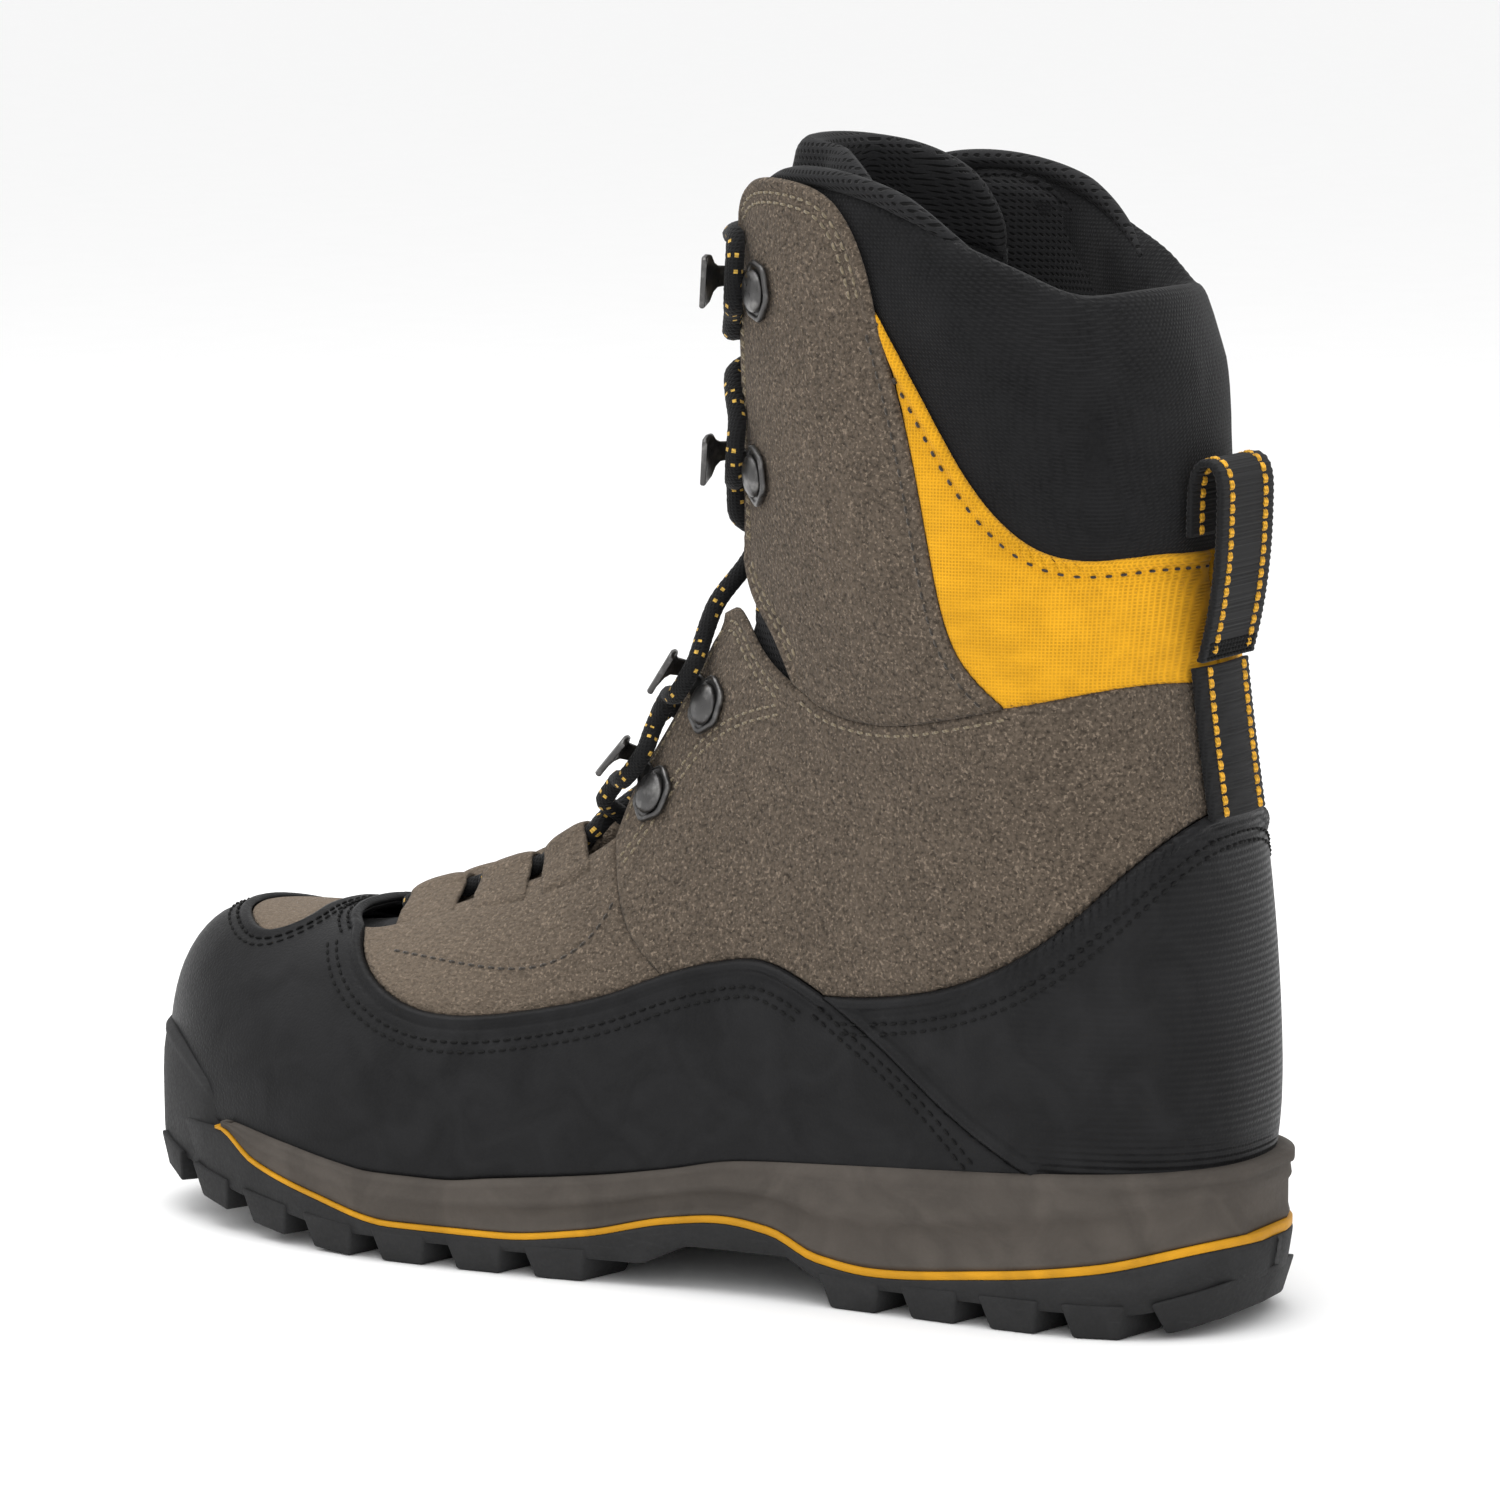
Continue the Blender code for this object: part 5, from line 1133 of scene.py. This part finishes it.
def bead(lines, height=0.55, centre=1.5, width=1.0, groove=3.4):
    """A raised rounded edge along some lines, with a shallow valley behind it."""
    spots = np.concatenate([on_last(*smooth_edge(line, 0.8).T) for line in lines])
    tree = tree_of(spots)

    def relief(places, points):
        away = distances(points, tree)
        raised = height * np.exp(-((away - centre) / width) ** 2)
        return raised - 0.25 * np.exp(-((away - groove) / 0.8) ** 2)

    return relief


def make_rands(mats):
    overlap = RAND_OVERLAP[:-1] + FEATHER_HEEL[:1]
    window = across_front(TOE_WINDOW)
    front_lines = [RAND_EDGE, mirrored(RAND_EDGE), across_front(THROAT_FRONT)]
    front = [
        across_toe(FEATHER_TOE + FEATHER_HEEL[:1]), overlap[::-1], RAND_EDGE[::-1],
        across_front(THROAT_FRONT), mirrored(RAND_EDGE[::-1]), mirrored(overlap[::-1]),
    ]
    skin("rand_front", front, 0.9, 2.4, mats["rand"], ["front_rand"], hole=[window],
         seams=front_lines, relief=bead([*front_lines, window]))
    heel_lines = [across_back(HEEL_EDGE), overlap, other_side(overlap)]
    heel = [across_back(HEEL_EDGE), other_side(overlap), across_back(FEATHER_HEEL)[::-1], overlap[::-1]]
    skin("rand_heel", heel, 1.0, 2.4, mats["heel_rand"], ["heel_rand"], seams=heel_lines,
         relief=bead(heel_lines))


def make_suede(mats):
    skin("toe_suede", [across_front(TOE_WINDOW)], 0.0, 1.6, mats["suede"], ["toe_patch"])
    back_line_edge = (HEEL_EDGE[-1], CUFF_SEAM_BACK[-1])
    panels = (
        ("forefoot", "forefoot_quarter", 0.0, 1.7, (), (RAND_EDGE[:6], QUARTER_SEAM, EYELET_EDGE[::-1])),
        ("quarter", "rear_quarter", 0.1, 1.8, (FLEX_NOTCH_LOW,), (
            RAND_EDGE[5:], HEEL_EDGE, back_line_edge, CUFF_SEAM_BACK[::-1], CUFF_SEAM[::-1],
            FLEX_NOTCH_LOW[::-1], INSTEP_EDGE[::-1], QUARTER_SEAM[::-1],
        )),
        ("ankle_cuff", "cuff", 0.75, 1.9, (CUFF_TOP, CUFF_FRONT, FLEX_NOTCH_HIGH), (
            CUFF_SEAM, YELLOW_FRONT[::-1], CUFF_TOP[::-1], CUFF_FRONT[::-1], FLEX_NOTCH_HIGH[::-1],
        )),
    )
    for side, sign in SIDES:
        for name, node, top, thickness, seams, edges in panels:
            skin(f"{name}_{side}", edges, top, thickness, mats["suede"],
                 [f"{node}_{side}"], sign, seams=seams)


def make_yellow(mats):
    edges = (YELLOW_FRONT, CUFF_SEAM_BACK, (CUFF_SEAM_BACK[-1], YELLOW_TOP[-1]), YELLOW_TOP[::-1])
    for side, sign in SIDES:
        fold = bead([sided(YELLOW_TOP, sign)], 0.7, 1.6, 1.1, 3.8)
        skin(f"textile_{side}", edges, 0.15, 1.5, mats["yellow"],
             [f"yellow_panel_{side}"], sign, seams=(YELLOW_TOP,), relief=fold)


def make_gussets(mats):
    for side, sign in SIDES:
        skin(f"flex_mesh_{side}", [GUSSET_EDGE], -2.6, 1.0, mats["mesh"],
             [f"gusset_{side}"], sign, step=3.2)


def pad(name, edges, outer, inner, radius, material, body, replaces, step=3.0):
    """A closed padded form over an outline: outer and inner offsets meet in a rounded rim."""
    loop = outline(edges, step)
    loop = shifted(loop, turn_of(loop, False) * 0.3, closed=True)
    places, triangles, _, away = filled([loop], PAD_ROWS, 0.9, 0.5, step)
    rounding = np.sqrt(1 - np.clip(1 - away / radius, 0, 1) ** 2)
    high = outer(places, away)
    low = inner(places, away)
    middle = (high + low) / 2
    half = (high - low) / 2 * rounding
    on_rim = len(loop)
    above = on_last(*places.T, middle + half)
    below = on_last(*places.T, middle - half)[on_rim:]
    under = np.where(triangles < on_rim, triangles, triangles + len(below))[:, ::-1]
    mesh = make_mesh(name, np.concatenate([above, below]), np.concatenate([triangles, under]).tolist())
    turn_outwards(mesh)
    thing = add_piece(name, mesh, material, body, replaces)


def ripple(places, size, amount):
    """Soft uneven puckers, the same on every run."""
    u, w = places[:, 0] * U_SPAN / size, places[:, 1] * W_SPAN / size
    across = np.sin(1.1 * w + 0.8 * np.sin(1.3 * u + 1.0))
    return amount * np.sin(1.7 * u + 1.3 * np.sin(0.9 * w)) * across


def make_collar(mats):
    """The padded roll round the back of the ankle, which turns over the rim into the lining."""
    low_edge = tuple((u - 0.22, w) for u, w in YELLOW_TOP)

    def roll(places):
        """0 at the thin front edges, 1 where the padding is thick."""
        t = np.clip((np.abs((places[:, 1] + 1) % 2 - 1) - 0.50) / 0.12, 0, 1)
        return t * t * (3 - 2 * t)

    def outer(places, away):
        full = roll(places)
        filled = np.clip((away - 5.0) / 13.0, 0, 1)
        return -1.3 + full * (0.2 + 2.6 * filled ** 0.8 + ripple(places, 9.0, 0.35) * filled)

    def inner(places, away):
        return -6.6 - 4.4 * roll(places) * np.clip(away / 6.0, 0, 1) + ripple(places + 3.0, 11.0, 0.2)

    edges = [
        across_back(low_edge), other_side(COLLAR_FRONT), across_back(COLLAR_RIM)[::-1],
        COLLAR_FRONT[::-1],
    ]
    pad("collar_roll", edges, outer, inner, 5.2, mats["softshell"], "boot",
        ["collar", "collar_foam"])


def make_binding(mats):
    """Mesh binding folded over the thin front edge of the opening, down to where the roll begins."""
    sides = 16
    for side, sign in SIDES:
        places = smooth_edge(sided(BINDING_LINE, sign), 1.6)
        sink = np.clip((np.abs(places[:, 1]) - 0.54) / 0.14, 0, 1)
        path = on_last(*places.T, -3.9 - 4.0 * sink ** 2)
        _, normals, _, _ = last_frames(*places.T)
        ahead = directions(path)
        taper = np.sqrt(np.clip((np.arange(len(path)) + 1) / 5.0, 0, 1)) * (1 - 0.75 * sink)
        rings = []
        for k, centre in enumerate(path):
            up = np.cross(normals[k], ahead[k]) * sign
            for angle in np.arange(sides) * 2 * math.pi / sides:
                spoke = 3.0 * math.cos(angle) * normals[k] + 2.4 * math.sin(angle) * up
                rings.append(centre + taper[k] * spoke)
        mesh = make_mesh("binding", rings, tube_faces(len(path), sides))
        turn_outwards(mesh)
        add_piece(f"edge_binding_{side}", mesh, mats["mesh"])


def lining_depth(places):
    """The lining lies under the stiffeners, and further in where the collar's padding pushes it."""
    u = places[:, 0]
    w = np.abs((places[:, 1] + 1) % 2 - 1)
    into_height = np.clip((u - 10.7) / 0.9, 0, 1)
    into_back = np.clip((w - 0.47) / 0.12, 0, 1)
    at_rim = np.clip((13.4 - u) / 0.45, 0, 1)
    push = [t * t * (3 - 2 * t) for t in (into_height, into_back, at_rim)]
    return -3.4 * push[0] * push[1] * push[2]


def make_lining(mats):
    rim = tuple((u - 0.18 - 0.25 * min(1.0, max(0.0, (w - 0.5) / 0.1)), w) for u, w in RIM)
    throat = LINING_THROAT + rim[:1]
    edges = [across_back(rim), mirrored(throat), throat]
    skin("inner_lining", edges, -4.4, 2.2, mats["mesh"], ["lining"], step=4.0,
         hole=[across_back(FEATHER)], relief=lambda places, spots: lining_depth(places))


def tongue_depth(places):
    """The tongue bulges in the throat and dives under the lining at its sides."""
    t = np.clip((np.abs(places[:, 1]) - 0.12) / 0.10, 0, 1) * np.clip((places[:, 0] - 8.5) / 2.0, 0, 1)
    return -6.2 * t * t * (3 - 2 * t)


def make_tongue(mats):
    split = across_front(tuple((TONGUE_SPLIT, w) for w in (TONGUE_EDGE[-1][1], 0.3, 0.15, 0.0)))

    def outer(places, away):
        channels = 0.5 * np.abs(np.sin(math.pi * (places[:, 0] - 0.4) / 1.1)) ** 0.5
        quilting = channels * np.clip(away / 6.0, 0, 1)
        return -9.2 + tongue_depth(places) + quilting + ripple(places, 6.0, 0.2)

    def inner(places, away):
        return -14.0 + tongue_depth(places)

    pad("tongue_pad", [TONGUE_EDGE, split, mirrored(TONGUE_EDGE)], outer, inner, 2.6,
        mats["softshell"], "boot", ["tongue"], step=3.4)
    low = across_front(tuple((TONGUE_SPLIT - TONGUE_OVERLAP, w) for w in (0.425, 0.3, 0.15, 0.0)))

    def tip_outer(places, away):
        rolled = np.clip((places[:, 0] - 13.35) / 0.5, 0, 1)
        return -9.4 + tongue_depth(places) - 2.2 * rolled + ripple(places, 7.0, 0.25)

    def tip_inner(places, away):
        rolled = np.clip((places[:, 0] - 13.35) / 0.5, 0, 1)
        return -14.6 + tongue_depth(places) - 3.4 * rolled - 0.8 * np.clip(away / 8.0, 0, 1)

    pad("tongue_top", [low[::-1], across_front(TONGUE_TIP_TOP)], tip_outer, tip_inner, 4.2,
        mats["mesh"], "tongue_tip", ["tongue_tip"])


# ---------------------------------------------------------------- lacing

def place_axes(u, w, offset):
    """A place on the last with axes: X towards the throat, Y along the front, Z out of the surface."""
    points, normals, _, round_ = last_frames(u, w)
    normal = normals[0]
    towards = -np.sign(w) * round_[0]
    towards -= normal * np.dot(towards, normal)
    towards /= np.linalg.norm(towards)
    return points[0] + offset * normal, np.stack([towards, np.cross(normal, towards), normal], axis=1)


def hook_turn(u, side_w, lip):
    """Places on the last (u, w, offset) of the lace over a lip, round a hook and back over the lip."""
    _, _, up, round_ = [value[0] for value in last_frames(u, side_w)]
    _, axes = place_axes(u, side_w, 0.3)
    side = np.sign(side_w)

    def moved(x, y):
        move = axes[:, 0] * x + axes[:, 1] * y * -side
        du, dw = np.linalg.lstsq(np.stack([up, round_], axis=1), move, rcond=None)[0]
        return u + du, side_w + dw

    bends = ((9.8, -9.4, 2.9), (5.0, -4.8, 4.2), (4.3, 0.0, 4.5), (5.0, 4.8, 4.2), (9.8, 9.4, 2.9))
    turn = [(*moved(x, y), z) for x, y, z in bends]
    reach = 15.0 / np.linalg.norm(up)
    before = [(turn[0][0] - 0.4 * reach, side * (lip - 0.012), LACE_ON_SUEDE)]
    after = [(turn[-1][0] + 0.4 * reach, side * (lip - 0.012), LACE_ON_SUEDE)]
    if abs(turn[0][1]) > lip + 0.03:
        before.append((turn[0][0] - 0.2 * reach, side * (lip + 0.02), LACE_ON_SUEDE))
        after.insert(0, (turn[-1][0] + 0.2 * reach, side * (lip + 0.02), LACE_ON_SUEDE))
    return before + turn + after


def strand(side, over):
    """Half of the lace, from the middle of the bottom bar to the end tucked behind a cuff."""
    places = [(3.52, 0.0, -3.2), (3.56, side * 0.035, -1.8)]
    for i, (start, end) in enumerate(TUNNEL_SPANS):
        places += [(u, side * TUNNEL_W, TUNNEL_DEPTH) for u in np.linspace(start - 0.11, end + 0.11, 4)]
        side = -side
        ahead = TUNNEL_SPANS[i + 1][0] if i < 2 else HOOK_PLACES[0][0] - 0.7
        places.append(((end + ahead) / 2, 0.0, over))
    for i, (u, w) in enumerate(HOOK_PLACES):
        places += hook_turn(u, side * w, LACE_LIPS[i])
        side = -side
        if i < 3:
            middle = (u + HOOK_PLACES[i + 1][0]) / 2
            places += [(middle - 0.08, -side * 0.022, over), (middle + 0.08, side * 0.022, over)]
    tuck = (
        (13.04, -0.130, 2.2), (13.03, -0.035, over), (12.93, 0.035, over), (12.76, 0.085, -5.2),
        (12.62, 0.125, -6.6), (12.48, 0.16, -8.4), (12.3, 0.198, -9.5), (12.0, 0.23, -10.0),
        (11.5, 0.255, -10.2), (11.0, 0.26, -10.2),
    )
    return places[:-1] + [(u, side * w, offset) for u, w, offset in tuck]


def lace_route(step):
    """Evenly spaced points of the whole lace, end to end."""
    places = np.array(strand(-1, LACE_LOW)[::-1] + strand(1, LACE_HIGH)[1:])
    knots = lengths_along(on_last(places[:, 0], places[:, 1], places[:, 2]))
    fine = np.linspace(0, knots[-1], 3000)
    u, w, depth = [along(tuple(zip(knots, places[:, i])))(fine) for i in range(3)]
    route = on_last(u, w, depth)
    for _ in range(LACE_SMOOTHING):
        route[1:-1] = (route[:-2] + 2 * route[1:-1] + route[2:]) / 4
    walked = lengths_along(route)
    even = np.linspace(0, walked[-1], int(walked[-1] / step))
    return np.stack([np.interp(even, walked, route[:, i]) for i in range(3)], axis=1)


def tube_rings(path, sides, radius):
    """Rings of points round a path, without twist; radius is a number or an array of ring by side."""
    ahead = directions(path)
    side = np.cross(ahead[0], (0.3, 0.2, 1.0))
    side /= np.linalg.norm(side)
    radius = np.broadcast_to(radius, (len(path), sides))
    angles = np.arange(sides) * 2 * math.pi / sides
    rings = []
    for k in range(len(path)):
        side = side - ahead[k] * np.dot(side, ahead[k])
        side /= np.linalg.norm(side)
        other = np.cross(ahead[k], side)
        spokes = np.cos(angles)[:, None] * side + np.sin(angles)[:, None] * other
        rings.append(path[k] + radius[k][:, None] * spokes)
    return np.concatenate(rings)


def make_lace(mats):
    """Round braided cord with pairs of slanting yellow flecks."""
    step = 0.75
    sides = 14
    path = lace_route(step)
    count = len(path)
    ring, spoke = np.meshgrid(np.arange(count), np.arange(sides), indexing="ij")
    twist = spoke * 2 * math.pi * 3 / sides
    braid = np.sin(ring * 1.9 + twist) * np.sin(ring * 1.9 - twist)
    points = tube_rings(path, sides, LACE_RADIUS * (1 + 0.045 * braid))
    mesh = make_mesh("lace_cord", points, tube_faces(count, sides))
    lace = add_piece("lace_cord", mesh, mats["lace"], replaces=["lace"])
    lace.data.materials.append(mats["lace_fleck"])
    k, a = np.meshgrid(np.arange(count - 1), np.arange(sides), indexing="ij")
    diagonal = (k + 2 * a) % 18
    dots = (a % 2 == 0) & ((diagonal == 0) | (diagonal == 4))
    slots = np.zeros(len(lace.data.polygons), dtype=np.int32)
    slots[:dots.size] = dots.ravel()
    lace.data.polygons.foreach_set("material_index", slots)


def local_piece(name, parts, place, metal, replaced):
    """Hardware joined from parts given in its own millimetre axes."""
    centre, axes = place
    points = []
    faces = []
    for part_points, part_faces in parts:
        start = len(points)
        points += list(centre + np.asarray(part_points) @ axes.T)
        faces += [tuple(start + k for k in face) for face in part_faces]
    mesh = make_mesh(name, points, faces)
    turn_outwards(mesh)
    return add_piece(name, mesh, metal, replaces=[replaced])


def stacked(rings):
    """A closed solid from rings of points, each with the same count."""
    return np.concatenate(rings), tube_faces(len(rings), len(rings[0]))


def hexagon(scale, height):
    """A hexagon with softened corners, a little longer up the boot than across."""
    ring = []
    for angle in range(0, 360, 12):
        turn = math.radians(angle) + math.pi / 6
        corner = math.cos(math.pi / 6) / math.cos(turn % (math.pi / 3) - math.pi / 6)
        reach = (0.9 * corner + 0.1) * scale
        ring.append((PLATE_WIDE * reach * math.cos(turn), PLATE_LONG * reach * math.sin(turn), height))
    return np.array(ring)


def bent_strip(centres, widths, thickness):
    """A strip of metal that follows (x, z) points, with a half width at each."""
    path = np.array(centres, float)
    ahead = directions(path)
    across = np.stack([-ahead[:, 1], ahead[:, 0]], axis=1) * thickness / 2
    rings = []
    for (x, z), (nx, nz), half in zip(path, across, widths):
        edge = half - 0.3
        rings.append(np.array([
            (x - nx, -edge, z - nz), (x - nx, edge, z - nz), (x - nx * 0.4, half, z - nz * 0.4),
            (x + nx * 0.4, half, z + nz * 0.4), (x + nx, edge, z + nz), (x + nx, -edge, z + nz),
            (x + nx * 0.4, -half, z + nz * 0.4), (x - nx * 0.4, -half, z - nz * 0.4),
        ]))
    return stacked(rings)


def hook_parts():
    plate = stacked([hexagon(scale, height) for scale, height in (
        (1.12, 0.0), (1.16, 0.25), (1.16, 0.95), (1.11, 1.35), (0.99, 1.38), (0.92, 1.02), (0.4, 1.0),
    )])
    plate[0][:, 0] -= HOOK_SETBACK
    arm = bent_strip(
        ((1.0, 0.75), (5.0, 0.75), (8.6, 0.8), (9.7, 1.5), (10.1, 3.0), (10.1, 5.0), (9.7, 6.4),
         (8.9, 7.6), (7.7, 8.9), (6.2, 10.0), (5.2, 10.4)),
        (3.6, 2.6, 2.3, 2.3, 2.3, 2.5, 3.6, 5.6, 6.1, 6.1, 5.6), 1.3)
    return [plate, arm]


def rivet_parts():
    turn = np.arange(28) * math.pi / 14
    circle = np.column_stack([np.cos(turn), np.sin(turn), np.zeros(28)])
    dome = ((3.0, 0.9), (4.75, 1.1), (4.9, 1.5), (4.6, 2.1), (3.9, 2.6), (2.6, 2.95), (0.9, 3.1))
    return [stacked([circle * radius + (-HOOK_SETBACK, 0.0, height) for radius, height in dome])]


def make_hooks(mats):
    for side, sign in SIDES:
        for i, (u, w) in enumerate(HOOK_PLACES):
            mark = f"{side}_{i + 1}"
            place = place_axes(u, sign * w, 1.0 if i > 1 else 0.35)
            metal = mats["gunmetal"]
            hook = local_piece(f"speed_hook_{mark}", hook_parts(), place, metal, f"hook_{mark}")
            bevel(hook, 0.18, 40)
            local_piece(f"hook_rivet_{mark}", rivet_parts(), place, metal, f"rivet_{mark}")


def make_tabs(mats):
    """Suede tabs folded round the lace: each is a rolled sheet that joins the quarter."""
    for side, sign in SIDES:
        for i, (start, end) in enumerate(TUNNEL_SPANS):
            us = np.linspace(start - 0.04, end + 0.04, 21)
            rows = []
            for k, u in enumerate(us):
                centre, axes = place_axes(u, sign * TUNNEL_W, TUNNEL_DEPTH)
                edge = abs(k / 10 - 1) ** 3
                radius = 3.7 - 1.1 * edge
                section = [(-13.0, -2.9), (-10.5, -1.5), (-8.0, -0.2), (-5.6 + edge, 1.2 - 0.5 * edge)]
                roll = np.radians(np.arange(-50, 219, 16))
                section += [(radius * math.sin(a), radius * math.cos(a)) for a in roll]
                rows.append(np.array([centre + axes[:, 0] * x + axes[:, 2] * z for x, z in section]))
            mesh = make_mesh("tab", np.concatenate(rows), grid_faces(21, len(rows[0])))
            tab = add_piece(f"lace_tab_{side}_{i + 1}", mesh, mats["suede"],
                            replaces=[f"lace_tunnel_{side}_{i + 1}"])
            thicken(tab, 1.1, 0.0)


# ---------------------------------------------------------------- webbing at the back

def back_line(z, offset):
    """y on the back of the last at a height, moved out by offset."""
    us = np.linspace(8.5, 14, 111)
    line = on_last(us, np.ones(111), offset)
    return np.interp(z, line[:, 2], line[:, 1])


def webbing(name, path, material, body, replaces, curve=None):
    """Ribbed strap along a side path of (y, z) points; curve bends its sides forward round the heel."""
    walked = lengths_along(np.array(path, float))
    even = np.linspace(0, walked[-1], int(walked[-1] / 0.42))
    smooth = natural_spline(walked, path)(even)
    ahead = directions(smooth)
    across = np.stack([-ahead[:, 1], ahead[:, 0]], axis=1)
    rib = 0.13 * np.sin(even * 2 * math.pi / 1.5)
    shares = (-1.0, -0.975, -0.92, -0.75, -0.5, -0.25, 0.0, 0.25, 0.5, 0.75, 0.92, 0.975, 1.0)
    xs = np.array(shares) * WEBBING_WIDTH / 2
    swell = WEBBING_THICKNESS / 2 * np.array((0.3, 0.85, 1.08, 1, 1, 1, 1, 1, 1, 1, 1.08, 0.85, 0.3))
    bend = np.column_stack([curve(xs) if curve else np.zeros(len(xs)), np.zeros(len(xs))])
    rings = []
    for point, out, wiggle in zip(smooth, across, rib):
        thick = (swell + wiggle * (swell > 0.5))[:, None]
        top = np.column_stack([xs, point + bend + out * thick])
        low = np.column_stack([xs, point + bend - out * thick])
        rings.append(np.concatenate([top, low[::-1]]))
    mesh = make_mesh(name, *stacked(rings))
    turn_outwards(mesh)
    add_piece(name, mesh, material, body, replaces)
    return smooth, across


def chain_stitch(kind, smooth, across, x, lift):
    """Two strands of small stitches up a strap at x."""
    normals = np.column_stack([np.zeros(len(smooth)), across]) * np.sign(lift)
    for shift in (-0.45, 0.45):
        points = np.column_stack([np.full(len(smooth), x + shift), smooth + across * lift])
        sew(kind, points, normals, 2.6, 2.3, 0.48)


def round_heel(xs):
    """How far the strip's sides lie ahead of its middle."""
    return -0.0085 * xs ** 2


def make_back_webbing(mats):
    strip_path = [(back_line(z, 1.0 + WEBBING_THICKNESS / 2), z) for z in np.linspace(115.5, 149.1, 6)]
    smooth, across = webbing(
        "rear_strip", strip_path, mats["webbing"], "boot", ["heel_strip"], round_heel)
    for x in (-8.2, 8.2):
        shift = np.array((round_heel(np.array([x]))[0], 0.0))
        for lift in (-1.0, 1.0):
            chain_stitch("yellow_strip", smooth + shift, across, x, lift)
    foot = back_line(150.5, 1.6)
    inner_foot = back_line(178.0, 1.6)
    loop_path = [
        (foot + 0.4, 150.55), (foot + 2.0, 157), (foot + 3.6, 166), (foot + 4.6, 176), (foot + 4.9, 186),
        (foot + 4.4, 191.5), (foot + 2.6, 194.2), (foot + 0.2, 194.4), (inner_foot + 1.0, 192.0),
        (inner_foot + 0.2, 187.0), (inner_foot, 178.0),
    ]
    smooth, across = webbing("loop_webbing", loop_path, mats["webbing"], "pull_loop", ["pull_loop"])
    for x in (-8.2, 8.2):
        for lift in (-1.0, 1.0):
            chain_stitch("yellow_loop", smooth[3:], across[3:], x, lift)
    for row in range(4):
        z = 151.0 + 1.1 * row
        y = float(np.interp(z, smooth[:60, 1], smooth[:60, 0]))
        xs = np.linspace(-11, 11, 23)
        points = np.column_stack([xs, np.full(23, y + 1.0), np.full(23, z)])
        sew("tack_loop", points, np.tile((0.0, 1.0, 0.0), (23, 1)), 1.5, 1.5, 0.45)


HIDDEN_FINISHES = {
    "stiffener": ("shank", "toe_puff", "heel_counter"),
    "board": ("insole_board",),
    "foam": ("ankle_foam_medial", "ankle_foam_lateral"),
    "rubber": ("aglet_1", "aglet_2"),
}


def dress_hidden(mats):
    """CAD nodes that stay, inside the boot and at the lace's ends, get real finishes."""
    for key, names in HIDDEN_FINISHES.items():
        for name in names:
            for material_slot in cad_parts[name].material_slots:
                material_slot.material = mats[key]


# ---------------------------------------------------------------- stage

def camera_at(position, target, lens):
    data = bpy.data.cameras.new("camera")
    data.lens = lens
    data.sensor_width = 36.0
    camera = bpy.data.objects.new("camera", data)
    camera.location = Vector(position) * MM
    direction = (Vector(target) - Vector(position)).normalized()
    camera.rotation_euler = direction.to_track_quat("-Z", "Y").to_euler()
    bpy.context.scene.collection.objects.link(camera)
    bpy.context.scene.camera = camera


def softbox(name, position, target, size, power):
    data = bpy.data.lights.new(name, "AREA")
    data.shape = "RECTANGLE"
    data.size, data.size_y = size
    data.energy = power
    light = bpy.data.objects.new(name, data)
    light.location = position
    light.rotation_euler = (Vector(target) - Vector(position)).to_track_quat("-Z", "Y").to_euler()
    bpy.context.scene.collection.objects.link(light)


def make_stage():
    camera_at((1270.82, 772.46, 340.05), (-1.20, 8.69, 119.55), 154.5)
    world = bpy.data.worlds.new("studio")
    world.use_nodes = True
    world.node_tree.nodes["Background"].inputs["Color"].default_value = (1.0, 1.0, 1.0, 1.0)
    world.node_tree.nodes["Background"].inputs["Strength"].default_value = 0.98
    bpy.context.scene.world = world
    bpy.context.scene.view_settings.view_transform = "Standard"
    softbox("key", (0.9, -0.9, 1.3), (0, 0, 0.1), (1.0, 1.0), 3.0)
    softbox("fill", (1.4, 0.9, 0.9), (0, 0, 0.12), (1.2, 1.0), 3.5)
    softbox("top", (0.15, -0.1, 1.6), (0, 0, 0.1), (1.4, 1.4), 17.0)
    mesh = bpy.data.meshes.new("floor")
    mesh.from_pydata([(-40, -40, 0), (40, -40, 0), (40, 40, 0), (-40, 40, 0)], [], [(0, 1, 2, 3)])
    paper = Shader("paper", 0.9, specular=0.1)
    fibres = paper.mix(paper.noise(40.0), (0.94, 0.94, 0.94), (0.96, 0.96, 0.96))
    mesh.materials.append(paper.finish(fibres))
    floor = bpy.data.objects.new("floor", mesh)
    bpy.context.scene.collection.objects.link(floor)


def finish_all_stitches(mats):
    finish_stitches("khaki_suede", mats["khaki_thread"])
    finish_stitches("brown_suede", mats["brown_thread"])
    finish_stitches("black_rand", mats["black_thread"])
    finish_stitches("yellow_strip", mats["yellow_thread"])
    finish_stitches("yellow_loop", mats["yellow_thread"], "pull_loop")
    finish_stitches("tack_loop", mats["black_thread"], "pull_loop")


make_stage()
MATERIALS = make_materials()
make_sole(MATERIALS)
make_footbed(MATERIALS)
make_rands(MATERIALS)
make_suede(MATERIALS)
make_yellow(MATERIALS)
make_gussets(MATERIALS)
make_lining(MATERIALS)
make_tongue(MATERIALS)
make_binding(MATERIALS)
make_collar(MATERIALS)
make_tabs(MATERIALS)
make_hooks(MATERIALS)
make_lace(MATERIALS)
make_back_webbing(MATERIALS)
sew_seams()
finish_all_stitches(MATERIALS)
dress_hidden(MATERIALS)
